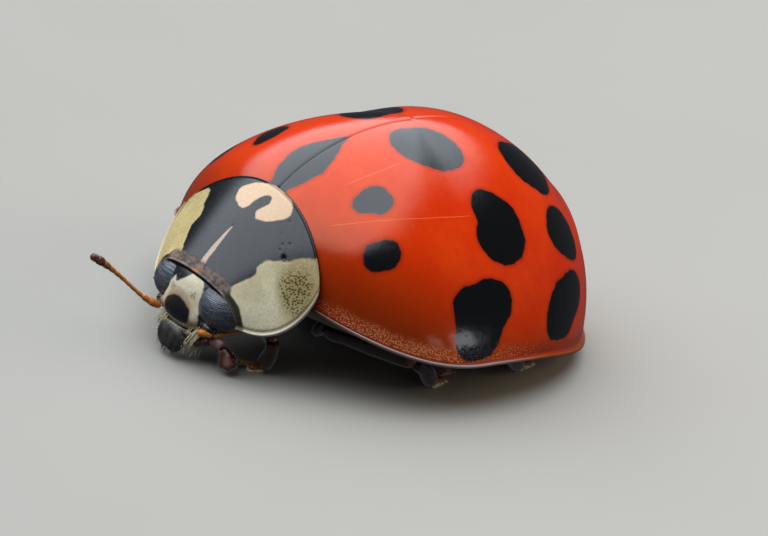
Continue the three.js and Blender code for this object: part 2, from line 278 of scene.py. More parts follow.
class Nodes:
    """Short calls for the nodes of one tree. Their arguments are numbers or sockets."""

    def __init__(self, tree):
        self.tree = tree

    def node(self, kind, **settings):
        made = self.tree.nodes.new(kind)
        for key, value in settings.items():
            setattr(made, key, value)
        return made

    def put(self, value, target):
        if isinstance(value, bpy.types.NodeSocket):
            self.tree.links.new(value, target)
        else:
            target.default_value = value

    def math(self, operation, a, b=0.0, clamp=False):
        made = self.node("ShaderNodeMath", operation=operation, use_clamp=clamp)
        self.put(a, made.inputs[0])
        self.put(b, made.inputs[1])
        return made.outputs[0]

    def add(self, a, b):
        return self.math("ADD", a, b)

    def times(self, a, b):
        return self.math("MULTIPLY", a, b)

    def step(self, value, low, high):
        """0 below low, 1 above high, smooth between."""
        made = self.node("ShaderNodeMapRange", interpolation_type="SMOOTHSTEP")
        self.put(value, made.inputs["Value"])
        self.put(low, made.inputs["From Min"])
        self.put(high, made.inputs["From Max"])
        return made.outputs["Result"]

    def less(self, value, low, high):
        """1 below low, 0 above high, smooth between."""
        return self.math("SUBTRACT", 1.0, self.step(value, low, high), clamp=True)

    def vector(self, operation, a, b, result=0):
        made = self.node("ShaderNodeVectorMath", operation=operation)
        self.put(a, made.inputs[0])
        self.put(b, made.inputs["Scale" if operation == "SCALE" else 1])
        return made.outputs[result]

    def blend(self, share, a, b):
        made = self.node("ShaderNodeMix", data_type="FLOAT")
        for value, target in ((share, 0), (a, 2), (b, 3)):
            self.put(value, made.inputs[target])
        return made.outputs[0]


class Paint(Nodes):
    """Builds one procedural material; its lengths are millimetres."""

    def __init__(self, name, **sockets):
        self.material = bpy.data.materials.new(name)
        self.material.use_nodes = True
        super().__init__(self.material.node_tree)
        self.shader = self.tree.nodes["Principled BSDF"]
        for label, value in sockets.items():
            self.put(value, self.shader.inputs[label.replace("_", " ")])
        self.mm = self.vector("SCALE", self.node("ShaderNodeTexCoord").outputs["Object"], 1 / MM)

    def mark(self, name):
        return self.node("ShaderNodeAttribute", attribute_name=name).outputs["Fac"]

    def axis(self, which):
        made = self.node("ShaderNodeSeparateXYZ")
        self.put(self.mm, made.inputs[0])
        return made.outputs[which]

    def stretched(self, stretch):
        return self.vector("MULTIPLY", self.mm, stretch) if stretch else self.mm

    def noise(self, scale, detail=3.0, rough=0.55, stretch=None):
        made = self.node("ShaderNodeTexNoise")
        for label, value in (("Scale", scale), ("Detail", detail), ("Roughness", rough)):
            self.put(value, made.inputs[label])
        self.put(self.stretched(stretch), made.inputs["Vector"])
        return made.outputs["Fac"]

    def wobble(self, scale, detail, size):
        """Noise about zero that makes an edge ragged."""
        return self.times(self.add(self.noise(scale, detail), -0.5), size)

    def cells(self, scale, random=1.0, stretch=None):
        made = self.node("ShaderNodeTexVoronoi")
        for label, value in (("Scale", scale), ("Randomness", random)):
            self.put(value, made.inputs[label])
        self.put(self.stretched(stretch), made.inputs["Vector"])
        return made.outputs["Distance"]

    def mix(self, share, a, b):
        made = self.node("ShaderNodeMix", data_type="RGBA")
        for value, target in ((share, 0), (a, 6), (b, 7)):
            self.put(value, made.inputs[target])
        return made.outputs[2]

    def lay(self, tone, where, strength, colour):
        """The tone with a colour laid over it where `where` is 1, as strong as `strength`."""
        return self.mix(self.times(where, strength), tone, colour)

    def colour(self, value):
        self.put(value, self.shader.inputs["Base Color"])

    def rough(self, value):
        self.put(value, self.shader.inputs["Roughness"])

    def bump(self, height, depth):
        """Raises the surface by `depth` where height is 1, on top of the bumps made before."""
        made = self.node("ShaderNodeBump")
        self.put(depth * MM, made.inputs["Distance"])
        self.put(height, made.inputs["Height"])
        normal = self.shader.inputs["Normal"]
        if normal.is_linked:
            self.put(normal.links[0].from_socket, made.inputs["Normal"])
        self.put(made.outputs[0], normal)


# ------------ wing cases

DOME_HALF_WIDTH, DOME_REAR, DOME_FRONT, DOME_HEIGHT = 2.8, 3.65, 2.46, 2.49
CROWN_SOFTNESS, CROWN_Y = 0.08, 0.316
OUTLINE_REAR, OUTLINE_FRONT = 2.15, 2.3
ARCH_SIDE, ARCH_FRONT, ARCH_REAR = 1.49, 2.08, 2.05
FRONT_RISE, REAR_FALL, REAR_DROP = 0.099, 0.064, 0.52      # how the rim leaves z = 0, and its lowest


def rim_height(y):
    fall = REAR_FALL * y * y
    return np.where(y < 0, FRONT_RISE * y * y, -fall / (1 + (fall / REAR_DROP) ** 6) ** (1 / 6))


def dome(around, up, inset=0.0, crown=None):
    """A point of the domed back, as in the solids: around -90 degrees is the front, up 0 the rim."""
    around, up, inset = np.broadcast_arrays(*(np.asarray(a, float) for a in (around, up, inset)))
    x, y = np.cos(around), np.sin(around)
    rear = y > 0
    power = np.where(rear, OUTLINE_REAR, OUTLINE_FRONT)
    reach = np.where(rear, DOME_REAR, DOME_FRONT) - inset
    arch = ARCH_SIDE * x * x + np.where(rear, ARCH_REAR, ARCH_FRONT) * y * y
    radius = ((np.abs(x) / (DOME_HALF_WIDTH - inset)) ** power + (np.abs(y) / reach) ** power) ** (-1 / power)
    c0, s0 = np.maximum(np.cos(up), 0), np.maximum(np.sin(up), 0)
    out = c0 * (c0 ** arch + s0 ** arch) ** (-1 / arch)
    soft = np.sqrt(out ** 2 + CROWN_SOFTNESS ** 2 * (1 - out ** 2))
    rise = (np.maximum(1 - soft ** arch, 0) / (1 - CROWN_SOFTNESS ** arch)) ** (1 / arch)
    top = DOME_HEIGHT - inset if crown is None else crown
    rim_y = radius * y
    return np.stack([radius * x * out, CROWN_Y + (rim_y - CROWN_Y) * out,
                     rim_height(rim_y) * (1 - rise) + top * rise], -1)


def dome_outward(p):
    """Roughly outward from the dome near p."""
    return unit(np.stack([p[..., 0] / 2.6 ** 2, (p[..., 1] - 0.3) / 3.1 ** 2,
                          np.maximum(p[..., 2], 0) / 2.2 ** 2], -1))


# Each spot: its centre, then its mean radius and the cosine and sine terms of its outline.
SPOTS = {
    "shoulder_inner": ((1.14, -1.25, 1.90),
                       (0.254, -0.011, -0.009, 0.042, -0.006, 0.017, -0.001, 0.008, -0.001, 0.006, 0.003)),
    "shoulder_outer": ((1.73, -1.45, 1.37),
                       (0.253, -0.009, 0.004, 0.032, 0.011, -0.003, -0.004, -0.006, 0.007, 0.002, 0.001)),
    "middle_inner": ((0.62, 0.11, 2.33),
                     (0.477, 0.002, -0.001, 0.065, -0.056, 0.010, -0.005, -0.008, -0.011, 0.004, 0.007)),
    "middle": ((1.77, 0.67, 1.56),
               (0.505, -0.007, -0.003, -0.063, 0.006, -0.018, 0.029, 0.002, 0.023, 0.012, 0.007)),
    "middle_outer": ((2.56, -0.04, 0.62),
                     (0.550, 0.006, -0.014, -0.007, 0.072, -0.017, -0.047, -0.024, 0.009, -0.011, -0.006)),
    "rear_inner": ((0.86, 1.89, 1.95),
                   (0.505, -0.070, -0.040, 0.039, -0.003, 0.008, -0.026, -0.012, 0.012, -0.006, -0.002)),
    "rear": ((1.64, 2.09, 1.24),
             (0.422, -0.040, -0.004, 0.022, -0.016, 0.008, 0.021, -0.004, 0.000, 0.004, -0.002)),
    "rear_outer": ((2.31, 1.82, 0.46),
                   (0.500, -0.034, -0.001, 0.053, 0.100, -0.007, -0.024, -0.012, 0.028, -0.004, -0.004)),
    "tip": ((0.78, 3.02, 0.98), (0.300, 0.000, 0.000, 0.020, 0.010, 0.008, 0.000)),
}
SPOT_DEPTH = 0.9           # a spot marks only shell this near its centre, measured along the normal there
# The spot behind the scutellum lies across the seam: its half width at places along y.
SCUTELLAR_Y = (-2.6, -1.95, -1.8, -1.6, -1.45, -1.3, -1.15, -1.05, -0.9, -0.78)
SCUTELLAR_HALF = (0.10, 0.18, 0.28, 0.335, 0.33, 0.26, 0.185, 0.11, 0.05, -0.03)


def spot_distance(points):
    """Signed distance (mm, negative inside) to the nearest black spot of a left wing case."""
    around, up = np.meshgrid(np.radians(np.linspace(-90, 90, 361)), np.radians(np.linspace(0, 89.5, 180)))
    skin = dome(around, up)
    normals = normals_of(skin, dome_outward(skin)).reshape(-1, 3)
    skin = skin.reshape(-1, 3)
    best = np.full(len(points), FAR)
    for centre, terms in SPOTS.values():
        nearest = ((skin - np.array(centre)) ** 2).sum(-1).argmin()
        normal = normals[nearest]
        ahead = unit(np.cross(normal, np.cross([0, -1, 0], normal)))
        offset = points - skin[nearest]
        a, b = offset @ ahead, offset @ np.cross(normal, ahead)
        theta = np.arctan2(b, a)
        radius = np.full_like(theta, terms[0])
        for k in range(1, len(terms) // 2 + 1):
            radius += terms[2 * k - 1] * np.cos(k * theta) + terms[2 * k] * np.sin(k * theta)
        near = np.abs(offset @ normal) <= SPOT_DEPTH
        best = np.minimum(best, np.where(near, np.hypot(a, b) - radius, FAR))
    x, y, z = points.T
    half = np.interp(y, SCUTELLAR_Y, SCUTELLAR_HALF) - np.maximum(y - SCUTELLAR_Y[-1], 0)
    return np.minimum(best, np.where(z > 0.6, (x - half) * 0.9, FAR))


RIM_BAND = 0.062           # width of the flat flange round the wing case
RIM_LIFT = 0.024
SHELL = 0.14               # true thickness of a wing case
SEAM = 0.003
# The rim's profile, in under the fold, back out and up over the flange's bead: how far in, how far up.
RIM_PROFILE = ((0.14, 0.02), (0.3, -0.01), (0.42, -0.015), (0.42, -0.035), (0.3, -0.04), (0.16, -0.045),
               (0.06, -0.045), (0.025, -0.04), (0.008, -0.026), (0.0, -0.008), (0.003, 0.006), (0.010, 0.014),
               (0.018, 0.016), (0.027, 0.012), (0.036, 0.006), (0.044, 0.004), (0.052, 0.007), (0.059, 0.015))
HIDDEN_RIM, BEAD_ROWS = 7, 9       # rows of the profile that lie under the insect, and on the bead
# Each healed scratch is where a plane cuts the left wing case: its normal and offset, and two ends in y.
SCRATCHES = (((-0.499, 0.069, 0.864), 0.704, -1.95, 0.3), ((-0.774, -0.117, 0.622), 0.845, -1.5, -0.45))


def carve_wall(wall):
    """Works the seam's groove, the low cross fold before the tip and the shoulder into the outer face."""
    x, y, z = np.moveaxis(wall, -1, 0)
    groove = 0.010 * bell(x, 0.02)
    fold_y = 2.95 - 0.16 * (x / 1.2) ** 2
    fold = 0.028 * bell(y - fold_y, 0.10) * smoothstep(1.9, 0.9, x) * smoothstep(0.15, 0.5, z)
    shoulder = 0.02 * bell(x - 1.65, 0.4) * bell(y + 1.75, 0.3)
    return wall + normals_of(wall, dome_outward(wall)) * (fold + shoulder - groove)[..., None]


def wing_case(label, side, material):
    """Rows of points from the crown down the inner face, round the rim and up the outer face."""
    columns, wall_rows = 221, 121
    t = np.linspace(0, 1, columns)
    around = math.pi * (t - 0.13 * np.sin(TAU * t) - 0.5)
    climb = np.linspace(0, 1, wall_rows)
    up = math.pi / 2 * climb ** 1.15
    band = RIM_BAND * (1 - smoothstep(0.0, 0.42, climb))
    lift = RIM_LIFT * (1 - smoothstep(0, 0.1, climb))
    inner = [dome(around, u, SHELL) for u in up[::-1]]
    rim_rows = [dome(around, 0.0, inward) + [0, 0, raised] for inward, raised in RIM_PROFILE]
    outer = [dome(around, u, inset, DOME_HEIGHT) + [0, 0, raised] for u, inset, raised in zip(up, band, lift)]
    points = np.concatenate([inner, rim_rows, carve_wall(np.stack(outer))]) + [SEAM, 0, 0]
    rows, first_wall = len(points), wall_rows + len(RIM_PROFILE)
    wall = points[first_wall:]

    spots = np.full((rows, columns), FAR)
    spots[first_wall:] = spot_distance(wall.reshape(-1, 3)).reshape(wall_rows, columns)
    rim = np.full((rows, columns), -1.0)           # below 0 on the bead, then mm up the outer face
    rim[first_wall - BEAD_ROWS:first_wall] = np.linspace(-0.9, -0.1, BEAD_ROWS)[:, None]
    step = np.linalg.norm(np.diff(wall, axis=0), axis=-1)
    rim[first_wall:] = np.vstack([np.zeros((1, columns)), np.cumsum(step, axis=0)])
    under = np.zeros((rows, columns))
    under[:wall_rows + HIDDEN_RIM] = 1.0

    faces = grid_faces(rows, columns)
    for column in (0, columns - 1):                # the cut edges along the middle seam
        down = [k * columns + column for k in range(wall_rows)]
        back_up = [(rows - 1 - k) * columns + column for k in range(wall_rows)]
        cut = [[down[k], down[k + 1], back_up[k + 1], back_up[k]] for k in range(wall_rows - 1)]
        cut.append([k * columns + column for k in range(wall_rows - 1, first_wall + 1)])
        faces += cut if column else [face[::-1] for face in cut]
    if side > 0:
        faces = [face[::-1] for face in faces]
    piece(f"wing_case_{label}", points * [side, 1, 1], faces, material, [f"elytron_{label}"],
          {"spot": spots, "rim": rim, "under": under})


def wing_case_paint():
    p = Paint("wing_case_red", Roughness=0.16, IOR=1.6, Coat_Weight=0.12, Coat_Roughness=0.07)
    spot, rim, under = p.mark("spot"), p.mark("rim"), p.mark("under")
    y = p.add(p.axis(1), -ORIGIN[1])
    red = p.mix(p.step(p.noise(1.3, 2.0), 0.3, 0.7), rgb(226, 50, 1), rgb(234, 62, 0))
    red = p.lay(red, p.step(p.noise(14.0, 4.0), 0.45, 0.75), 0.22, rgb(194, 36, 2))
    # painted shade: a darker red low on the outer face, next to the rim
    red = p.lay(red, p.less(rim, 0.05, 0.6), 0.55, rgb(190, 66, 4))
    # painted shade: the lower front flank is darkened to brown, where it would lie in shade
    painted_flank_shade = p.times(p.less(rim, 0.3, 1.7), p.less(y, -1.2, 0.9))
    red = p.lay(red, painted_flank_shade, 0.62, rgb(128, 46, 2))
    # granules along the rim, lighter than the shell between them
    thick = p.times(p.step(y, -2.4, -1.8), p.less(y, -0.6, 1.4))
    ragged_rim = p.add(rim, p.times(p.noise(4.0, 3.0), 0.14))
    band = p.times(p.step(rim, 0.004, 0.03), p.less(ragged_rim, 0.15, 0.34))
    red = p.lay(red, band, 0.65, p.mix(thick, rgb(150, 44, 12), rgb(224, 90, 44)))
    grain_size = p.blend(thick, 0.26, -0.04)
    grains = p.times(p.less(p.add(p.cells(38.0), grain_size), 0.36, 0.54), band)
    red = p.lay(red, grains, 0.95, rgb(255, 158, 100))
    # a few fine punctures and the two healed scratches across the left wing case
    red = p.lay(red, p.less(p.cells(2.4), 0.014, 0.03), 0.6, rgb(120, 24, 8))
    left = p.step(p.axis(0), 0.2, 0.3)
    for normal, offset, start, stop in SCRATCHES:
        level = offset + float(np.dot(normal, ORIGIN))
        from_plane = p.add(p.vector("DOT_PRODUCT", p.mm, normal, "Value"), -level)
        away = p.math("ABSOLUTE", p.add(from_plane, p.wobble(1.1, 1.0, 0.05)))
        along = p.times(p.step(y, start, start + 0.2), p.less(y, stop - 0.2, stop))
        scratch = p.times(p.times(p.less(away, 0.003, 0.008), along), left)
        red = p.lay(red, scratch, 0.45, rgb(255, 140, 84))
    ragged_spot = p.add(spot, p.wobble(7.0, 3.0, 0.075))
    red = p.lay(red, p.less(ragged_spot, 0.0, 0.08), 0.4, rgb(140, 22, 4))
    black = p.less(ragged_spot, -0.013, 0.015)
    tone = p.mix(black, red, rgb(6, 6, 8))
    # the flange: a pale bead outside, a dark groove inside
    edge = p.less(rim, -0.14, -0.02)
    flange = p.mix(p.step(rim, -0.75, -0.35), rgb(186, 164, 158), rgb(92, 62, 58))
    flange = p.lay(flange, p.noise(6.0), 0.4, rgb(146, 104, 88))
    flange = p.mix(p.step(y, -0.3, 1.5), flange, rgb(150, 66, 20))
    flange = p.mix(p.less(y, -2.3, -1.8), flange, rgb(84, 26, 10))
    tone = p.mix(edge, tone, flange)
    p.colour(p.mix(under, tone, rgb(96, 44, 20)))
    p.rough(p.blend(edge, p.blend(p.noise(30.0, 2.0), 0.11, 0.19), 0.4))
    p.put(p.mix(black, (1.0, 0.62, 0.40, 1.0), (1.0, 1.0, 1.0, 1.0)), p.shader.inputs["Specular Tint"])
    p.bump(p.less(p.cells(7.5), 0.03, 0.12), -0.0016)
    p.bump(grains, 0.009)
    p.bump(p.noise(2.4, 3.0), 0.006)
    return p.material


# ------------ pronotum

SHIELD_HALF_REAR, SHIELD_HALF_FRONT = 1.55, 0.96
SHIELD_SCALE = (1.3, 1.6)          # about how many millimetres one step of u and of v is
PLATE = 0.10


def shield(u, v):
    """A point of the pronotum, as in the solids: u -1 right to 1 left, v 0 hind to 1 front."""
    u, v = np.broadcast_arrays(np.asarray(u, float), np.asarray(v, float))
    rear_x = SHIELD_HALF_REAR * u
    rear = np.stack([rear_x, -2.02 - 0.18 * u * u, 1.73 - 0.32 * rear_x ** 2 - 0.03 * rear_x ** 4], -1)
    front_x = SHIELD_HALF_FRONT * u
    front = np.stack([front_x, -3.3 + 0.2 * u * u, 0.55 - 0.28 * front_x ** 2 - 0.34 * front_x ** 6], -1)
    swell = np.sin(math.pi * v)
    lift = np.stack([0.16 * (1 - v) * u * np.abs(u), -0.02 * np.ones_like(u), 0.03 - 0.32 * u ** 4], -1)
    hind_corner = 0.07 * u ** 10 * (1 - v) ** 8
    front_corner = 0.10 * u ** 10 * v ** 8
    trim = np.stack([-(hind_corner + front_corner) * np.sign(u), (front_corner - hind_corner) / 2,
                     np.zeros_like(u)], -1)
    return rear + (front - rear) * v[..., None] + lift * swell[..., None] + trim


def loop_distance(u, v, loop, scale=SHIELD_SCALE):
    """Signed distance (mm, negative inside) to a closed smooth loop."""
    loop = np.array(loop, float) * scale
    closed = np.vstack([loop[-1:], loop, loop[:2]])
    outline = np.vstack([bend(closed[i:i + 4], 8) for i in range(len(loop))])
    q = np.stack([u * scale[0], v * scale[1]], -1).reshape(-1, 2)
    best = np.full(len(q), np.inf)
    inside = np.zeros(len(q), bool)
    for a, b in zip(outline, np.roll(outline, -1, 0)):
        ab, aq = b - a, q - a
        t = np.clip(aq @ ab / (ab @ ab + 1e-12), 0, 1)
        best = np.minimum(best, np.linalg.norm(aq - t[:, None] * ab, axis=1))
        crosses = (a[1] > q[:, 1]) != (b[1] > q[:, 1])
        with np.errstate(divide="ignore", invalid="ignore"):
            inside ^= crosses & (q[:, 0] < (b[0] - a[0]) * (q[:, 1] - a[1]) / (b[1] - a[1]) + a[0])
    return np.where(inside, -best, best).reshape(u.shape)


# Outlines of the pale marks in (u, v), and the pits with their radii.
LEFT_PATCH = [(0.62, 1.1), (0.60, 0.85), (0.61, 0.76), (0.62, 0.63), (0.58, 0.57), (0.57, 0.48), (0.63, 0.37),
              (0.68, 0.25), (0.73, 0.12), (0.78, 0.03), (0.82, -0.1), (1.2, -0.1), (1.2, 1.1)]
RIGHT_PATCH = [(-0.43, 1.1), (-0.44, 0.86), (-0.48, 0.8), (-0.57, 0.6), (-0.54, 0.47), (-0.6, 0.35),
               (-0.64, 0.24), (-0.69, 0.12), (-0.8, 0.05), (-0.95, 0.0), (-1.2, -0.05), (-1.2, 1.1)]
REAR_LOBES = [(-0.28, 0.24), (-0.31, 0.14), (-0.22, 0.07), (-0.05, 0.025), (0.16, 0.015), (0.3, 0.04),
              (0.36, 0.12), (0.3, 0.24), (0.17, 0.325), (0.085, 0.3), (0.09, 0.24), (0.115, 0.17),
              (0.07, 0.115), (0.0, 0.14), (-0.045, 0.2), (-0.05, 0.275), (-0.09, 0.32), (-0.18, 0.31)]
STREAK = [(-0.008, 0.5), (0.018, 0.6), (0.045, 0.72), (0.078, 0.84), (0.12, 0.95), (0.02, 0.95),
          (-0.004, 0.84), (-0.020, 0.7), (-0.018, 0.58)]
FRECKLES = [(0.78, 0.43), (0.74, 0.33), (0.80, 0.18), (0.90, 0.10), (0.95, 0.18), (0.96, 0.32), (0.88, 0.43)]
PITS = [(0.635, 0.32, 0.036), (0.40, 0.135, 0.026), (0.57, 0.225, 0.02), (0.535, 0.285, 0.02),
        (0.56, 0.325, 0.018), (0.45, 0.25, 0.018), (0.36, 0.2, 0.016), (-0.02, 0.5, 0.02),
        (0.28, 0.31, 0.016)]


def length_along(points, axis):
    """Millimetres from the grid's first row or column to each point."""
    steps = np.linalg.norm(np.diff(points, axis=axis), axis=-1)
    return np.insert(np.cumsum(steps, axis=axis), 0, 0.0, axis=axis)


def pronotum(material):
    """A plate of even thickness with round edges, beads along the margins and pits."""
    columns, rows = 281, 169
    s, t = np.linspace(0, 1, rows), np.linspace(0, 1, columns)
    u = (2 * (t - 0.1 * np.sin(TAU * 2 * t) / 2) - 1)[None, :]
    v = (s - 0.1 * np.sin(TAU * s))[:, None]
    u, v = np.broadcast_arrays(u, v)
    base = shield(u, v)
    normal = normals_of(base, np.array([0, -0.4, 1.0]))
    normal = np.where(np.abs(normal).sum(-1, keepdims=True) > 0, normal, [0, 0, 1])
    from_right, from_rear = length_along(base, 1), length_along(base, 0)
    from_front = from_rear[-1:] - from_rear
    side = np.minimum(from_right, from_right[:, -1:] - from_right)
    ends = np.minimum(from_rear, from_front)
    edge = np.minimum(side, ends)
    r = PLATE / 2
    drop = r - np.sqrt(np.clip(r * r - np.clip(r - edge, 0, r) ** 2, 0, None))
    bead = 0.018 * bell(side - 0.034, 0.018) - 0.016 * bell(side - 0.08, 0.024)
    bead += 0.010 * bell(ends - 0.03, 0.015) - 0.006 * bell(ends - 0.065, 0.02)
    scale_u, scale_v = SHIELD_SCALE
    pits = [(np.hypot((u - pit_u) * scale_u, (v - pit_v) * scale_v), size) for pit_u, pit_v, size in PITS]
    dents = sum(0.6 * size * bell(away, size * 0.8) for away, size in pits)
    top = base + normal * (bead - drop - dents)[..., None]
    bottom = base - normal * (PLATE - drop)[..., None]
    patches = np.minimum(loop_distance(u, v, LEFT_PATCH), loop_distance(u, v, RIGHT_PATCH))
    marks = {"cream": patches, "lobes": loop_distance(u, v, REAR_LOBES),
             "streak": loop_distance(u, v, STREAK), "freckle": loop_distance(u, v, FRECKLES),
             "pit": np.minimum.reduce([away - size for away, size in pits]),
             "side": side, "front": from_front, "hind": from_rear, "wide": u}
    doubled = {name: np.stack([values, values]) for name, values in marks.items()}
    doubled["under"] = np.stack([np.zeros_like(u), np.ones_like(u)])
    faces = grid_faces(rows, columns, flip=True) + grid_faces(rows, columns, first=rows * columns)
    piece("pronotum_plate", np.stack([top, bottom]), faces, material, ["pronotum"],
          doubled)


def pronotum_paint():
    p = Paint("pronotum_pattern", Roughness=0.24, IOR=1.56)
    wobble = p.wobble(7.0, 4.0, 0.06)
    cream, wide, front, hind, side = (p.mark(name) for name in ("cream", "wide", "front", "hind", "side"))

    def inside(mark, soft=0.014):
        return p.less(p.add(p.mark(mark), wobble), -soft, soft)

    left = p.step(wide, -0.1, 0.1)
    pale = p.mix(left, rgb(242, 214, 146), rgb(255, 243, 204))
    mottle = p.step(p.noise(30.0, 4.0, 0.65), 0.4, 0.68)
    pale = p.lay(pale, mottle, 0.55, p.mix(left, rgb(204, 182, 122), rgb(218, 194, 144)))
    # olive clouding along the inner and hind edge of each pale patch, and round the freckles
    cloud = p.step(p.add(cream, p.times(p.noise(5.0, 3.0), 0.3)), -0.2, 0.1)
    pale = p.lay(pale, cloud, 0.5, rgb(164, 144, 94))
    pale = p.lay(pale, p.times(p.less(hind, 0.25, 0.9), left), 0.6, rgb(152, 120, 54))
    pale = p.lay(pale, p.less(p.mark("freckle"), -0.06, 0.14), 0.6, rgb(158, 138, 74))
    crumbs = p.times(p.less(p.cells(38.0), 0.2, 0.5), p.step(cream, -0.3, -0.05))
    pale = p.lay(pale, crumbs, 0.4, rgb(232, 218, 180))
    tone = p.mix(p.step(p.noise(5.0), 0.3, 0.7), rgb(7, 7, 9), rgb(13, 13, 17))
    patches = inside("cream")
    tone = p.mix(patches, tone, pale)
    tone = p.mix(inside("lobes"), tone, rgb(228, 188, 146))
    tone = p.mix(inside("streak", 0.01), tone, rgb(196, 166, 142))
    speck = p.times(inside("freckle", 0.05), p.less(p.cells(27.0, random=0.8), 0.40, 0.52))
    tone = p.lay(tone, speck, 0.85, rgb(92, 70, 20))
    # see-through front margin: greyish pink in the middle with a rusty dot, dark brown at the corners
    middle = p.less(p.math("ABSOLUTE", wide), 0.58, 0.68)
    margin = p.mix(p.step(p.noise(13.0, 3.0), 0.35, 0.65), rgb(88, 76, 68), rgb(136, 116, 106))
    rust = p.less(p.math("ABSOLUTE", p.add(wide, -0.06)), 0.02, 0.09)
    margin = p.lay(margin, p.times(rust, p.less(front, 0.06, 0.12)), 0.85, rgb(196, 116, 66))
    margin = p.mix(middle, rgb(14, 9, 4), margin)
    depth = p.blend(middle, 0.13, 0.235)
    covered = p.math("SUBTRACT", depth, p.add(front, p.wobble(8.0, 3.0, 0.05)))
    cover = p.step(covered, -0.01, p.blend(middle, 0.02, 0.06))
    tone = p.lay(tone, cover, 0.95, margin)
    # the front edge: a thin pale rim at the corners; in the middle a dark line of painted shadow along the
    # edge
    tone = p.mix(p.less(front, 0.02, 0.04), tone, p.mix(middle, rgb(150, 136, 112), rgb(20, 15, 16)))
    # the beads of the side and hind margins, and the groove inside the side bead
    bead = p.times(p.less(side, 0.03, 0.055), p.less(middle, 0.2, 0.9))
    tone = p.mix(bead, tone, rgb(226, 214, 200))
    groove = p.times(p.step(side, 0.045, 0.06), p.less(side, 0.085, 0.12))
    tone = p.lay(tone, groove, 0.55, rgb(150, 134, 112))
    tone = p.mix(p.less(hind, 0.016, 0.034), tone, rgb(34, 14, 12))
    tone = p.mix(p.less(p.mark("pit"), -0.008, 0.008), tone, rgb(2, 2, 3))
    p.colour(p.mix(p.mark("under"), tone, rgb(88, 60, 40)))
    p.rough(p.blend(cover, p.blend(p.noise(20.0), 0.2, 0.34), 0.62))
    p.put(p.blend(cover, p.blend(patches, 0.5, 0.3), 0.14), p.shader.inputs["Specular IOR Level"])
    p.bump(p.noise(45.0, 2.0), 0.0012)
    p.bump(p.less(p.cells(15.0), 0.04, 0.16), -0.0012)
    p.bump(speck, -0.004)
    return p.material


# ------------ plain shell materials

def shell_paint(name, dark, light, roughness, grain, pitted, coat, pale=None):
    """Horny shell: two tones in clouds, fine pits, a thin gloss; the mark "pale" lays a third tone on it."""
    p = Paint(name, IOR=1.5, Coat_Weight=coat, Coat_Roughness=0.15)
    tone = p.mix(p.step(p.noise(grain / 3, 4.0, 0.6), 0.3, 0.72), dark, light)
    tone = p.lay(tone, p.step(p.noise(grain * 2, 3.0), 0.5, 0.8), 0.35, dark)
    if pale:
        tone = p.mix(p.mark("pale"), tone, pale)
    p.colour(tone)
    p.rough(p.blend(p.noise(grain * 2.5), roughness * 0.8, roughness * 1.3))
    p.bump(p.less(p.cells(grain), 0.06, 0.22), -pitted)
    p.bump(p.noise(grain * 3, 3.0), pitted * 0.6)
    return p.material


BLACK_SHELL = shell_paint("black_shell", rgb(7, 7, 9), rgb(15, 14, 17), 0.26, 12.0, 0.004, 0.5)
LABRUM_SHELL = shell_paint("labrum_shell", rgb(38, 35, 34), rgb(88, 80, 74), 0.38, 26.0, 0.006, 0.2)
LEG_SHELL = shell_paint("leg_shell", rgb(40, 15, 8), rgb(84, 36, 15), 0.26, 20.0, 0.003, 0.4,
                        rgb(176, 104, 48))
FEELER_SHELL = shell_paint("feeler_shell", rgb(206, 104, 24), rgb(236, 150, 50), 0.32, 26.0, 0.0015, 0.2,
                           rgb(70, 30, 14))
# the pale tone is the pinkish joint's colour and also a painted highlight on the hatchet
PALP_SHELL = shell_paint("palp_shell", rgb(46, 18, 12), rgb(96, 44, 26), 0.2, 24.0, 0.0015, 0.7,
                         rgb(202, 148, 136))
UNDER_SHELL = shell_paint("under_shell", rgb(20, 13, 11), rgb(42, 25, 17), 0.42, 9.0, 0.008, 0.1,
                          rgb(150, 84, 36))
HAIR = shell_paint("pale_hair", rgb(246, 224, 176), rgb(254, 244, 212), 0.5, 30.0, 0.0002, 0.0)
DARK_HAIR = shell_paint("dark_hair", rgb(40, 30, 22), rgb(92, 70, 44), 0.5, 30.0, 0.0002, 0.0)


# ------------ hairs

HAIR_SIDES, HAIR_RINGS, HAIR_TAPER = 4, 5, 0.86
PATCH = 0.003              # size of one hair's patch on the unwrap


def hair(root, way, length, radius, droop=(0, 0, 0), sides=HAIR_SIDES):
    """One tapering hair that starts along `way` and bends by `droop`."""
    t = np.linspace(0, 1, HAIR_RINGS)[:, None]
    path = np.asarray(root) + unit(way) * length * t + np.asarray(droop) * length * t ** 2
    return tube(path, radius * (1 - t[:, 0] * HAIR_TAPER), sides)


def hair_piece(name, hairs, material=HAIR):
    """Hairs as one piece, each mapped to a small patch: its root's place on an unwrap round their middle."""
    parts = [hair(*one) for one in hairs]
    points, faces = joined(parts)
    points[:, 2] = np.maximum(points[:, 2], FLOOR)
    mesh = piece(name, points, faces, material, merge=False).data
    roots = np.array([one[0] for one in hairs])
    way = unit(roots - roots.mean(0) - np.array([0, 0.4, 0]))
    turn = np.arctan2(way[:, 0], -way[:, 1]) / TAU + 0.5
    fall = np.arccos(np.clip(way[:, 2], -1, 1)) / math.pi
    place = 0.01 + np.stack([turn, fall], -1) * 0.98
    vertex = np.zeros(len(mesh.loops), np.int32)
    mesh.loops.foreach_get("vertex_index", vertex)
    who, which = np.divmod(vertex, HAIR_SIDES * HAIR_RINGS)
    share = which / (HAIR_SIDES * HAIR_RINGS)
    corner = np.stack([(vertex % HAIR_SIDES) / (HAIR_SIDES - 1), share], -1) - 0.5
    layer = mesh.uv_layers.new(name="OFBake")
    layer.data.foreach_set("uv", (place[who] + corner * PATCH).astype(np.float32).reshape(-1))


# ------------ scutellum

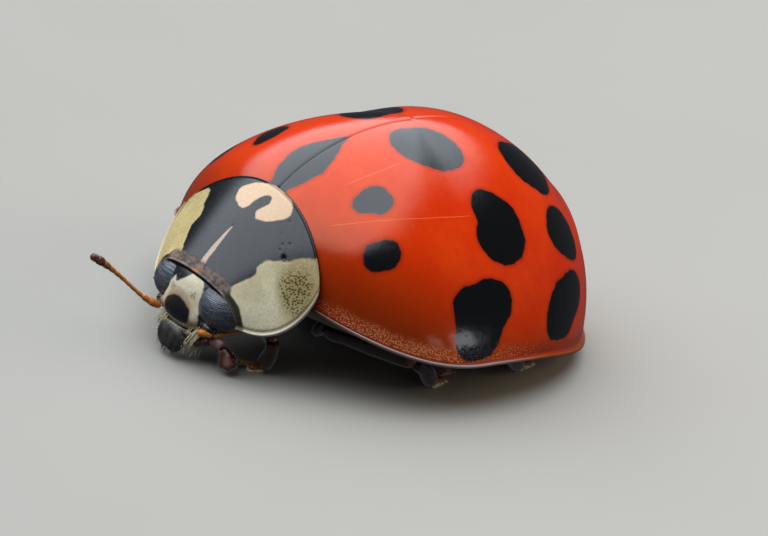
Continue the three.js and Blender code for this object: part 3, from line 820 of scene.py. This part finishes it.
def scutellum():
    """A small triangle on the front slope of the dome, its point towards the crown."""
    rows = columns = 25
    s, t = np.meshgrid(np.linspace(0, 1, rows), np.linspace(-1, 1, columns), indexing="ij")
    around = t * 0.095 * np.clip(1 - s, 0.02, 1) ** 0.9 - math.pi / 2
    up = 0.3 + (0.62 - 0.3) * s
    lift = 0.022 + 0.05 * (1 - t ** 4) * (1 - s ** 4)
    points = np.stack([dome(around, up, -lift), dome(around, up, -0.008)])
    n = rows * columns
    faces = grid_faces(rows, columns, flip=True) + grid_faces(rows, columns, first=n)
    number = np.arange(n).reshape(rows, columns)
    border = [*number[0], *number[1:, -1], *number[-1, -2::-1], *number[-2::-1, 0]]
    faces += [[int(a), int(b), int(b) + n, int(a) + n] for a, b in zip(border[:-1], border[1:])]
    piece("scutellum_plate", points, faces, BLACK_SHELL, ["scutellum"])


# ------------ head

EYE_AT, EYE_RADII = (0.480, -2.95, 0.175), (0.380, 0.41, 0.335)
# Outlines in (x, z) of the pale face and the dark patch on it, and two brown dots on the brow.
FRONS = [(0.05, 0.54), (0.16, 0.60), (0.24, 0.52), (0.30, 0.42), (0.335, 0.3), (0.35, 0.16), (0.37, 0.04),
         (0.37, -0.08), (0.36, -0.2), (0.2, -0.23), (-0.2, -0.23), (-0.38, -0.22), (-0.46, -0.12),
         (-0.44, 0.0), (-0.38, 0.13), (-0.33, 0.25), (-0.25, 0.38), (-0.19, 0.33), (-0.12, 0.38),
         (-0.04, 0.45)]
CLYPEUS_PATCH = [(-0.08, 0.17), (0.04, 0.17), (0.14, 0.13), (0.24, 0.06), (0.26, -0.04), (0.23, -0.13),
                 (0.1, -0.185), (-0.08, -0.19), (-0.22, -0.16), (-0.28, -0.06), (-0.26, 0.05), (-0.19, 0.12)]
BROW_DOTS = ((0.21, 0.27), (-0.22, 0.24))
FACE_Y = -2.95             # the face's marks lie in front of this


def head_field(p):
    """Skull, muzzle and throat; on each side a feeler's knob and socket and the eye's hollow; the groove."""
    d = ellipsoid(p, (0, -2.8, 0.17), (0.8, 0.58, 0.6))
    d = blend_min(d, ellipsoid(p, (0, -3.25, -0.03), (0.41, 0.19, 0.24)), 0.09)
    d = blend_min(d, ellipsoid(p, (0, -2.98, -0.34), (0.42, 0.26, 0.26)), 0.08)
    for side in SIDES.values():
        d = blend_min(d, ellipsoid(p, (0.47, -3.19, -0.12), (0.15, 0.12, 0.1), side), 0.06)
        d = carve(d, ellipsoid(p, (0.50, -3.33, -0.16), (0.085, 0.06, 0.075), side), 0.03)
        d = carve(d, ellipsoid(p, EYE_AT, EYE_RADII, side) + 0.03, 0.02)
    groove = np.abs(p[..., 2] + 0.215 + 0.10 * p[..., 0] ** 2) - 0.008
    return carve(d, np.maximum(groove, ellipsoid(p, (0, -3.40, -0.21), (0.34, 0.07, 0.1))), 0.02)


def head(material):
    points = star(head_field, (0, -2.85, 0.08), 221, 300, far=1.4)
    x, y, z = np.moveaxis(points, -1, 0)
    frons, patch = (np.where(y < FACE_Y, loop_distance(x, z, loop, (1, 1)), FAR)
                    for loop in (FRONS, CLYPEUS_PATCH))
    marks = {"frons": frons, "patch": patch, "below": smoothstep(-0.25, -0.36, z),
             "brown": np.minimum.reduce([np.hypot(x - a, z - b) for a, b in BROW_DOTS]),
             "high": z, "across": np.abs(x)}
    piece("head_capsule", points, None, material, ["head"], marks)


def head_paint():
    p = Paint("face_pattern", IOR=1.55, Coat_Weight=0.4, Coat_Roughness=0.2)
    wobble = p.wobble(11.0, 4.0, 0.06)
    high, across = p.mark("high"), p.mark("across")
    ragged_high = p.add(high, wobble)
    patch, brown, frons = (p.add(p.mark(name), wobble) for name in ("patch", "brown", "frons"))
    cream = p.mix(p.step(p.noise(16.0, 4.0), 0.3, 0.7), rgb(255, 243, 212), rgb(246, 224, 182))
    dot = p.times(p.less(brown, 0.02, 0.08), p.step(p.noise(30.0, 3.0), 0.35, 0.6))
    cream = p.lay(cream, dot, 0.75, rgb(140, 96, 48))
    shade = p.times(p.less(patch, 0.0, 0.16), p.less(across, 0.2, 0.34))
    cream = p.lay(cream, shade, 0.75, rgb(150, 112, 70))
    rust = p.times(p.less(ragged_high, -0.12, -0.02), p.step(across, 0.2, 0.3))
    cream = p.lay(cream, rust, 0.7, rgb(120, 74, 50))
    # outside the pale face the black head is painted blue-grey: a painted reflection of the sky on the black
    # shell
    tone = p.mix(p.less(frons, -0.016, 0.016), rgb(26, 28, 34), cream)
    tone = p.mix(p.less(patch, -0.02, 0.02), tone, rgb(19, 19, 23))
    # the pale membrane between clypeus and labrum
    strip = p.times(p.step(high, -0.245, -0.235), p.less(p.add(high, p.times(wobble, 0.3)), -0.172, -0.158))
    tone = p.mix(p.times(strip, p.less(across, 0.3, 0.36)), tone, rgb(232, 214, 166))
    p.colour(p.mix(p.mark("below"), tone, rgb(46, 24, 16)))
    p.rough(p.blend(p.noise(24.0), 0.24, 0.4))
    p.bump(p.less(p.cells(14.0), 0.04, 0.2), -0.005)
    p.bump(p.noise(30.0, 3.0), 0.003)
    return p.material


def eye_paint():
    p = Paint("compound_eye", IOR=1.56, Coat_Weight=0.6, Coat_Roughness=0.22)
    bands = p.step(p.noise(9.0, 3.0, stretch=(0.5, 0.5, 4.5)), 0.3, 0.7)
    p.colour(p.mix(bands, rgb(40, 43, 50), rgb(98, 104, 114)))
    p.rough(p.blend(p.noise(40.0), 0.2, 0.36))
    p.bump(p.less(p.cells(34.0, random=0.15, stretch=(1, 1, 1.3)), 0.15, 0.6), 0.006)
    p.bump(p.noise(14.0, 2.0, stretch=(0.4, 0.4, 4.0)), 0.005)
    return p.material


def eye(label, side, material):
    """An ellipsoid, drawn out a little towards the crown of the head."""
    ball = directions(121, 160)
    upper = np.clip(ball @ unit([-0.6 * side, -0.2, 0.76]), 0, 1)
    points = EYE_AT * np.array([side, 1, 1]) + ball * EYE_RADII * (1 + 0.24 * upper[..., None] ** 4)
    piece(f"compound_eye_{label}", points, None, material, [f"eye_{label}"])


def labrum():
    def field(p):
        return carve(ellipsoid(p, (0, -3.40, -0.43), (0.265, 0.105, 0.22)),
                     ellipsoid(p, (0, -3.42, -0.67), (0.09, 0.14, 0.06)), 0.04)
    points = star(field, (0, -3.40, -0.43), 91, 120, far=0.5)
    piece("labrum_plate", points, None, LABRUM_SHELL, ["labrum"])


# ------------ feelers and palps

FEELER_JOINTS = (0.0, 0.16, 0.25, 0.34, 0.43, 0.51, 0.59, 0.67, 0.745, 0.83, 0.915, 1.0)
FEELER_WIDTHS = ((0.046, 0.058), (0.044, 0.042), (0.030, 0.030), (0.027, 0.029), (0.027, 0.029),
                 (0.028, 0.031), (0.030, 0.033), (0.033, 0.039), (0.042, 0.056), (0.058, 0.066),
                 (0.062, 0.046))
# The course of each feeler and how many hairs it has; the left one is folded back under the head.
FEELERS = {
    "right": ([(0.46, -3.27, -0.2), (0.5, -3.4, -0.15), (0.6, -3.6, -0.03), (0.76, -3.88, 0.2),
               (0.9, -4.12, 0.37), (1.0, -4.28, 0.45)], 170),
    "left": ([(0.46, -3.27, -0.16), (0.52, -3.34, -0.155), (0.58, -3.2, -0.17), (0.64, -3.03, -0.16),
              (0.70, -2.86, -0.11), (0.77, -2.68, -0.06), (0.84, -2.52, -0.04)], 70),
}
PALP_COURSE = [(0.24, -3.16, -0.47), (0.36, -3.19, -0.40), (0.48, -3.14, -0.33), (0.58, -3.08, -0.29),
               (0.67, -3.03, -0.33)]
HATCHET_COURSE = [(0.66, -3.03, -0.34), (0.715, -2.98, -0.45), (0.76, -2.95, -0.55), (0.785, -2.93, -0.66)]


def beaded(points, joints, widths, rings, waist):
    """A segmented limb: its path, its radii and the segment of each ring.

    joints are shares of the length, widths the radii at each segment's start and end, and waist says how
    much narrower the limb is at a joint.
    """
    s = np.linspace(0, 1, rings)
    radii, which = np.zeros(rings), np.zeros(rings)
    for k, (a, b, (start, stop)) in enumerate(zip(joints[:-1], joints[1:], widths)):
        here = (s >= a) & (s <= b)
        t = (s[here] - a) / (b - a)
        radii[here] = (start + (stop - start) * t) * (1 - waist * bell(t, 0.12) - waist * bell(1 - t, 0.12))
        which[here] = k
    return curve_through(points, rings), radii * round_ends(rings, 0.02, 0.03), which


def feeler(label, course, hair_count):
    side = SIDES[label]
    rings, sides = 241, 20
    path, radii, which = beaded(np.array(course) * [side, 1, 1], FEELER_JOINTS, FEELER_WIDTHS, rings, 0.2)
    points, faces = tube(path, radii, sides)
    club = np.repeat(smoothstep(6.5, 9.5, which + np.linspace(0, 0.4, rings)) * 0.9, sides)
    piece(f"feeler_{label}", points, faces, FEELER_SHELL, [f"antenna_{label}"], {"pale": club})
    tangent, out, normal = frames_along(path)
    draw = np.random.default_rng(11 + side)
    hairs = []
    for _ in range(hair_count):
        k = int(draw.uniform(0.12, 0.97) * (rings - 1))
        angle = draw.uniform(0, TAU)
        way = out[k] * math.cos(angle) + normal[k] * math.sin(angle)
        root = path[k] + way * radii[k] * 0.8
        hairs.append((root, way + tangent[k] * 0.9, draw.uniform(0.035, 0.06), 0.0022))
    hair_piece(f"feeler_hairs_{label}", hairs)


def palp(label, side):
    """Three short segments and a broad hatchet-shaped last one."""
    mirror = np.array([1, 1, 1]) if side > 0 else np.array([-0.78, 0.985, 1])      # the far one is drawn in
    widths = ((0.05, 0.06), (0.05, 0.062), (0.062, 0.088))
    path, radii, which = beaded(np.array(PALP_COURSE) * mirror, (0.0, 0.34, 0.62, 1.0), widths, 91, 0.3)
    rings, sides, stalk_sides = 61, 28, 18
    t = np.linspace(0, 1, rings)
    last = curve_through(np.array(HATCHET_COURSE) * mirror, rings)
    grow = np.interp(t, [0, 0.1, 0.35, 0.65, 0.85, 1.0], [0.045, 0.08, 0.13, 0.17, 0.172, 0.14])
    hatchet = tube(last, grow * round_ends(rings, 0.08, 0.36), sides, 0.8, (-0.5 * side, -0.8, 0.3))
    points, faces = joined([tube(path, radii, stalk_sides), hatchet])
    points[:, 2] = np.maximum(points[:, 2], FLOOR + 0.002)
    skin = hatchet[0]
    # painted highlight: the pale tone is laid on the middle of the hatchet's face that turns forward and out,
    # where a gloss would show
    outward = unit(skin - np.repeat(last, sides, axis=0)) @ unit([0.55 * side, -0.75, 0.35])
    along = np.repeat(smoothstep(0.15, 0.4, t) * smoothstep(1.0, 0.7, t), sides)
    pale = np.append(np.repeat(np.where(which == 2, 0.8, 0.1), stalk_sides),
                     smoothstep(0.82, 1.0, outward) * along * 0.3)
    piece(f"palp_{label}_segments", points, faces, PALP_SHELL, [f"palp_{label}"], {"pale": pale})
    draw = np.random.default_rng(31 + side)
    hairs = []
    for _ in range(46):
        k = int(draw.uniform(3, 58))
        root = skin[k * sides + int(draw.uniform(0, TAU) / TAU * sides)]
        way = unit(root - last[k]) + unit(last[-1] - last[0]) * 0.6
        hairs.append((root, way, draw.uniform(0.02, 0.04), 0.0022))
    hair_piece(f"palp_hairs_{label}", hairs)


# ------------ hairs of the face

# Tufts of both sides: how many hairs, where their roots lie, which way they grow, their lengths and radius,
# and their droop. A pair is a range to draw from, given for the left side.
TUFTS = (
    # the golden tuft of the jaw, combed forward and down
    (24, ((0.29, 0.42), (-3.25, -3.16), (-0.3, -0.13)), ((-0.25, 0.1), -1.0, (-0.95, -0.6)),
     (0.18, 0.28), 0.0088, (0, 0.1, -0.15)),
    # shorter hairs under it
    (40, ((0.2, 0.4), (-3.24, -3.1), (-0.56, -0.4)), ((-0.1, 0.4), (-1.0, -0.5), (-1.0, -0.4)),
     (0.06, 0.13), 0.0034, (0, 0.15, -0.4)),
    # few hairs on the cheek by the feeler's socket
    (30, ((0.38, 0.54), (-3.33, -3.25), (-0.2, -0.02)), (0.5, -0.9, (-0.5, 0.3)),
     (0.04, 0.08), 0.0028, (0, 0, 0)),
)
# Fuzz along both sides of the labrum and clypeus, thinner on the left.
FUZZ = (((0.2, 0.32), (-3.42, -3.34), (-0.55, -0.12)), (0.9, -0.7, (-0.7, 0.1)),
        (0.06, 0.12), 0.0024, (0, 0, 0))


def strand(draw, side, roots, ways, lengths, radius, droop):
    """One hair of a tuft, mirrored to its side."""
    mirror = [side, 1, 1]
    return within(draw, *roots) * mirror, within(draw, *ways) * mirror, draw.uniform(*lengths), radius, droop


def face_hairs():
    draw = np.random.default_rng(5)
    hairs, dark = [], []
    for k in range(90):                        # the labrum's fringe and a few hairs over its face
        a = draw.uniform(-0.95, 0.95)
        b = draw.uniform(-0.95, 0.2) if k % 3 else draw.uniform(-0.98, -0.75)
        lift = math.sqrt(max(1 - a * a - b * b, 0.0))
        root = (0.265 * a, -3.40 - 0.103 * lift, -0.43 + 0.215 * b * math.sqrt(max(1 - a * a, 0.1)))
        way = (0.25 * a, -0.8 * lift - 0.15, -0.7 + 0.3 * b)
        dark.append((root, way, draw.uniform(0.03, 0.085), 0.0026, (0, 0.1, -0.35)))
    for k in range(56):                        # fringe of the clypeus edge
        x = -0.34 + 0.68 * (k + draw.uniform(-0.4, 0.4)) / 55
        root = (x, -3.43 + 0.55 * x * x, -0.215 - 0.08 * x * x)
        hairs.append((root, (x * 0.5, -0.8, -0.7), draw.uniform(0.03, 0.06), 0.0028, (0, 0.25, -0.4)))
    for side in SIDES.values():
        for count, *tuft in TUFTS:
            hairs += [strand(draw, side, *tuft) for _ in range(count)]
    for _ in range(44):
        side = 1 if draw.uniform(0, 1) < 0.4 else -1
        hairs.append(strand(draw, side, *FUZZ))
    for _ in range(60):                        # short hairs on the brow
        x, z = draw.uniform(-0.3, 0.3), draw.uniform(0.2, 0.45)
        y = -2.8 - 0.575 * math.sqrt(max(1 - (x / 0.8) ** 2 - ((z - 0.17) / 0.6) ** 2, 0.05))
        hairs.append(((x, y, z), (x, -1, -0.8), draw.uniform(0.025, 0.04), 0.0018))
    hair_piece("face_hairs", hairs)
    hair_piece("labrum_hairs", dark, DARK_HAIR)


# ------------ legs

HEEL_Z, TOE_Z, SOLE_Z = FLOOR + 0.09, FLOOR + 0.07, FLOOR + 0.004
STRIDE = 0.14              # three feet stand half of this forward, three half of it back
# Hip, knee, ankle and toe of each left leg, before the stride.
LEGS = {
    "fore": ((0.34, -2.0, -0.3), (1.12, -2.47, -0.11), (0.86, -2.29, -0.55), (0.66, -2.56, TOE_Z)),
    "mid": ((0.62, -1.1, -0.34), (2.15, -0.8, -0.18), (1.98, -0.25, -0.56), (1.78, 0.26, TOE_Z)),
    "hind": ((0.55, 0.5, -0.4), (2.2, 0.98, -0.26), (1.9, 1.62, -0.56), (1.7, 2.14, TOE_Z)),
}


def thigh(name, side, hip, knee):
    """A flattened thigh, pale at the knee, and the round joint at its hip."""
    rings, sides = 71, 24
    widths = ((0, 0.10), (0.1, 0.13), (0.2, 0.12), (0.5, 0.155), (0.8, 0.14), (1, 0.105))
    bow = (hip + knee) / 2 + [0, 0, 0.03]
    flat_way = unit(np.cross(knee - hip, [0, 0, 1.0]))
    bone = limb([hip, bow, knee], rings, widths, sides, (0.06, 0.09), 0.72, flat_way)
    coxa = limb([hip + [-0.1 * side, 0, 0.05], hip + [0.03 * side, 0, -0.02]], 31, ((0, 0.17), (1, 0.17)), 22,
                (0.45, 0.45))
    points, faces = joined([bone, coxa])
    glow = np.zeros(len(points))
    glow[:rings * sides] = np.repeat(smoothstep(0.9, 1.0, np.linspace(0, 1, rings)) * 0.7, sides)
    piece(f"{name}_thigh", points, faces, LEG_SHELL, [f"{name}_femur"], {"pale": glow})


def shin(name, side, knee, ankle, heel):
    """A shin with two spurs at its end. Returns its path and radii, which its bristles need."""
    rings, sides = 71, 22
    end = heel * 0.75 + ankle * 0.25
    middle = (knee + end) / 2 + [0.04 * side, 0, 0.03]
    path = curve_through([knee, middle, end], rings)
    t = np.linspace(0, 1, rings)
    swell = np.interp(t, [0, 0.08, 0.3, 0.75, 1], [0.08, 0.095, 0.095, 0.12, 0.105])
    parts = [tube(path, swell * round_ends(rings, 0.05, 0.06), sides)]
    for lean in (-0.5, 0.5):
        way = unit(path[-1] - path[0]) + [lean * 0.5, 0, 0]
        parts.append(hair(path[-4] + [0.03 * lean, 0, -0.03], way, 0.09, 0.011, sides=8))
    points, faces = joined(parts)
    glow = np.full(len(points), 0.8)
    glow[:rings * sides] = np.repeat(np.interp(t, [0, 0.8, 1], [0.0, 0.05, 0.3]), sides)
    piece(f"{name}_shin", points, faces, LEG_SHELL, [f"{name}_tibia"], {"pale": glow})
    return path, swell


def foot(name, at):
    """Two broad joints, the second with two lobes, a slim claw joint and two toothed claws."""
    up = (0, 0, 1)
    first = [at(-0.06, 0.13), at(0.12, 0.085), at(0.32, 0.07)]
    parts = [limb(first, 31, ((0, 0.045), (1, 0.072)), 18, (0.2, 0.16), 0.8, up)]
    for lobe in (-1, 1):
        pad = [at(0.28, 0.075, 0.008 * lobe), at(0.46, 0.066, 0.035 * lobe), at(0.62, 0.05, 0.05 * lobe)]
        parts.append(limb(pad, 31, ((0, 0.05), (0.6, 0.062), (1, 0.04)), 18, (0.25, 0.3), 0.75, up))
    claw_joint = [at(0.44, 0.11), at(0.68, 0.12), at(0.9, 0.09), at(1.0, 0.075)]
    parts.append(limb(claw_joint, 41, ((0, 0.026), (1, 0.042)), 16, (0.15, 0.15)))
    for lobe in (-1, 1):
        claw = [at(0.97, 0.075, 0.015 * lobe), at(1.13, 0.085, 0.045 * lobe), at(1.22, 0.05, 0.06 * lobe),
                at(1.24, 0.012, 0.062 * lobe)]
        tooth = [at(1.03, 0.07, 0.026 * lobe), at(1.09, 0.05, 0.036 * lobe), at(1.12, 0.03, 0.04 * lobe)]
        parts.append(limb(claw, 25, ((0, 0.02), (1, 0.005)), 10))
        parts.append(limb(tooth, 13, ((0, 0.016), (1, 0.004)), 8))
    points, faces = joined(parts)
    points[:, 2] = np.maximum(points[:, 2], FLOOR)
    piece(f"{name}_foot", points, faces, LEG_SHELL, [f"{name}_tarsus"],
          {"pale": np.full(len(points), 0.55)})


def leg(pair, row, label, side):
    name = f"{pair}_leg_{label}"
    hip, knee, ankle, toe = (np.array(p) * [side, 1, 1] for p in LEGS[pair])
    shift = np.array([0, -side * (-1) ** row * STRIDE / 2, 0])
    knee, ankle, toe = knee + shift, ankle + shift, toe + shift
    heel = np.array([ankle[0], ankle[1], HEEL_Z])
    ahead = unit((toe - heel) * [1, 1, 0])
    aside = np.cross(ahead, [0, 0, 1.0])
    reach = np.linalg.norm((toe - heel)[:2])

    def at(share, height, across=0.0):
        """A place in the foot: its share of the way to the toe, height above the sole, distance aside."""
        base = heel + ahead * reach * share + aside * across
        return np.array([base[0], base[1], SOLE_Z + height])

    thigh(name, side, hip, knee)
    path, swell = shin(name, side, knee, ankle, heel)
    foot(name, at)
    draw = np.random.default_rng(100 + 10 * row + side)
    hairs, bristles = [], []
    for _ in range(150):                       # the brush under the sole
        share = draw.uniform(0.0, 0.62)
        root = at(share, 0.045, draw.uniform(-0.06, 0.06) * (0.5 + share))
        hairs.append((root, ahead * 0.5 + [0, 0, -1.0], 0.045, 0.0045))
    for _ in range(80):                        # the pale fringe along both edges of the sole
        share = draw.uniform(-0.05, 0.66)
        lobe = 1 if draw.uniform(0, 1) < 0.5 else -1
        root = at(share, 0.045, lobe * (0.04 + 0.05 * share))
        hairs.append((root, ahead * 0.5 + aside * lobe * 0.7 + [0, 0, -0.5], 0.06, 0.0056))
    for _ in range(70):                        # bristles of the shin
        k = int(draw.uniform(18, 69))
        angle = draw.uniform(0, TAU)
        tangent = unit(path[k + 1] - path[k - 1])
        out = unit(np.cross(tangent, [math.cos(angle), math.sin(angle), 0.3]))
        root = path[k] + out * swell[k] * 0.85
        bristles.append((root, out + tangent * 1.2, draw.uniform(0.05, 0.09), 0.0035))
    for _ in range(30):                        # few hairs on top of the foot
        root = at(draw.uniform(0.3, 1.0), 0.1, draw.uniform(-0.04, 0.04))
        hairs.append((root, ahead + [0, 0, 0.7], draw.uniform(0.04, 0.08), 0.003))
    hair_piece(f"{name}_hairs", hairs)
    hair_piece(f"{name}_bristles", bristles, DARK_HAIR)


# ------------ underside

WAIST_Y, BELLY_DEPTH, BODY_INSET = 0.35, 0.42, 0.53
PLATE_GAP = 0.01
PLATE_LENGTH = 0.3         # how far the belly slopes ahead of each groove


def trunk(name, node, low_y, high_y, bands, furrow, paleness):
    """A length of the body: grooves across its underside at `bands`, a furrow along the middle."""
    columns, top_rows = 260, 14
    around = np.linspace(0, TAU, columns, endpoint=False) - math.pi
    down = np.linspace(0, math.pi / 2, 90)
    top = [dome(around, up, BODY_INSET + 0.02)
           for up in np.linspace(math.pi / 2, 0, top_rows, endpoint=False)]
    low = np.stack([dome(around, up, BODY_INSET, -BELLY_DEPTH) for up in down])
    x, y = low[..., 0], low[..., 1]
    sink = furrow * bell(x, 0.05)
    for band in bands:
        sink += 0.03 * bell(y - band - 0.06 * (x / 1.5) ** 2, 0.028)
        ahead = (band - y) / PLATE_LENGTH
        sink += 0.012 * smoothstep(0.0, 1.0, ahead) * (y > band - PLATE_LENGTH) * (y < band)
    low[..., 2] += sink * smoothstep(0.05, 0.4, down)[:, None]
    points = np.concatenate([top, low])
    points[..., 1] = np.clip(points[..., 1], low_y, high_y)
    pale = np.zeros(points.shape[:2])
    pale[top_rows:] = smoothstep(0.72, 0.95, np.cos(down))[:, None] * paleness
    piece(name, points, None, UNDER_SHELL, [node], {"pale": pale})


def breast():
    """The plates under the pronotum: chest, keel, the fore legs' sockets and a hollow on each side."""
    def field(p):
        d = ellipsoid(p, (0, -2.36, 0.34), (1.05, 0.46, 0.62))
        d = blend_min(d, ellipsoid(p, (0, -2.1, -0.12), (0.5, 0.4, 0.24)), 0.15)
        for side in SIDES.values():
            d = blend_min(d, ellipsoid(p, (0.36, -2.02, -0.24), (0.2, 0.2, 0.18), side), 0.05)
            d = carve(d, ellipsoid(p, (0.95, -2.5, -0.3), (0.36, 0.3, 0.36), side), 0.06)
        return d
    points = star(field, (0, -2.3, 0.2), 121, 160, far=1.6)
    pale = smoothstep(0.75, 1.02, np.abs(points[..., 0])) * 0.8
    piece("breast_plates", points, None, UNDER_SHELL, ["prothorax"], {"pale": pale})


# ------------ floor and light

FLOOR_HALF = 0.4                      # metres
SKY_WAY = (-0.492, -0.087, 0.866)     # the middle of the big soft window, high on the insect's right
SKY_BRIGHT, SKY_DIM = 2.8, 0.07
COOL, WARM = (0.88, 0.94, 1.0), (1.0, 0.84, 0.64)
PANEL_DISTANCE = 60


def stage_floor():
    mesh = bpy.data.meshes.new("floor")
    corners = [(x * FLOOR_HALF, y * FLOOR_HALF, 0) for x, y in ((-1, -1), (1, -1), (1, 1), (-1, 1))]
    mesh.from_pydata(corners, [], [(0, 1, 2, 3)])
    floor = bpy.data.objects.new("floor", mesh)
    bpy.context.collection.objects.link(floor)
    p = Paint("floor_pale", Roughness=0.85)
    p.colour(p.mix(p.noise(0.2, 2.0), rgb(164, 158, 148), rgb(170, 164, 154)))
    mesh.materials.append(p.material)
    floor.visible_glossy = False               # the shell mirrors the dark surroundings, as on the leaf
    floor.visible_diffuse = False              # and takes no light from below


def panel(name, way, size, power, colour, mirrored=True):
    """A soft light that looks at the insect from the direction `way`; the shell mirrors it if it may."""
    data = bpy.data.lights.new(name, "AREA")
    data.shape, data.size, data.size_y = "RECTANGLE", size[0] * MM, size[1] * MM
    data.energy = power
    data.color = colour
    light = bpy.data.objects.new(name, data)
    direction = unit(way)
    light.location = Vector((ORIGIN * MM + direction * PANEL_DISTANCE * MM).tolist())
    light.rotation_mode = "QUATERNION"
    light.rotation_quaternion = Vector(direction.tolist()).to_track_quat("Z", "Y")
    light.visible_glossy = mirrored
    bpy.context.collection.objects.link(light)


def sky():
    """A dim sky with one big soft window, cut off towards the horizon."""
    world = bpy.data.worlds.new("world")
    world.use_nodes = True
    n = Nodes(world.node_tree)
    way = n.node("ShaderNodeTexCoord").outputs["Generated"]

    def towards(direction, low, high):
        """1 where the light comes from the given direction, fading to 0 away from it."""
        return n.step(n.vector("DOT_PRODUCT", way, direction, "Value"), low, high)

    window = n.times(towards(SKY_WAY, 0.46, 0.68), towards((0.0, 0.0, 1.0), 0.32, 0.46))
    background = n.tree.nodes["Background"]
    n.put(n.blend(window, SKY_DIM, SKY_BRIGHT), background.inputs["Strength"])
    background.inputs["Color"].default_value = (0.82, 0.90, 1.0, 1)
    bpy.context.scene.world = world
    bpy.context.scene.view_settings.view_transform = "Standard"


# ------------ the whole insect

aim_camera()
wing_paint = wing_case_paint()
for label, side in SIDES.items():
    wing_case(label, side, wing_paint)
pronotum(pronotum_paint())
scutellum()
head(head_paint())
eye_shell = eye_paint()
for label, side in SIDES.items():
    eye(label, side, eye_shell)
labrum()
for label, (course, hair_count) in FEELERS.items():
    feeler(label, course, hair_count)
for label, side in SIDES.items():
    palp(label, side)
face_hairs()
for row, pair in enumerate(LEGS):
    for label, side in SIDES.items():
        leg(pair, row, label, side)
trunk("thorax_plates", "thorax", -3.0, WAIST_Y - PLATE_GAP, (-1.45, -0.3), 0.05, 0.45)
trunk("abdomen_plates", "abdomen", WAIST_Y + PLATE_GAP, 4.0, (0.95, 1.42, 1.85, 2.25, 2.6), 0.0, 0.9)
breast()

stage_floor()
panel("glint", (0.848, 0.51, 0.135), (13, 9), 0.0009, COOL)
panel("small glint", (0.97, 0.21, 0.11), (11, 6), 0.0003, COOL)
panel("far side", (0.446, 0.793, 0.416), (34, 34), 0.010, WARM, mirrored=False)
sky()
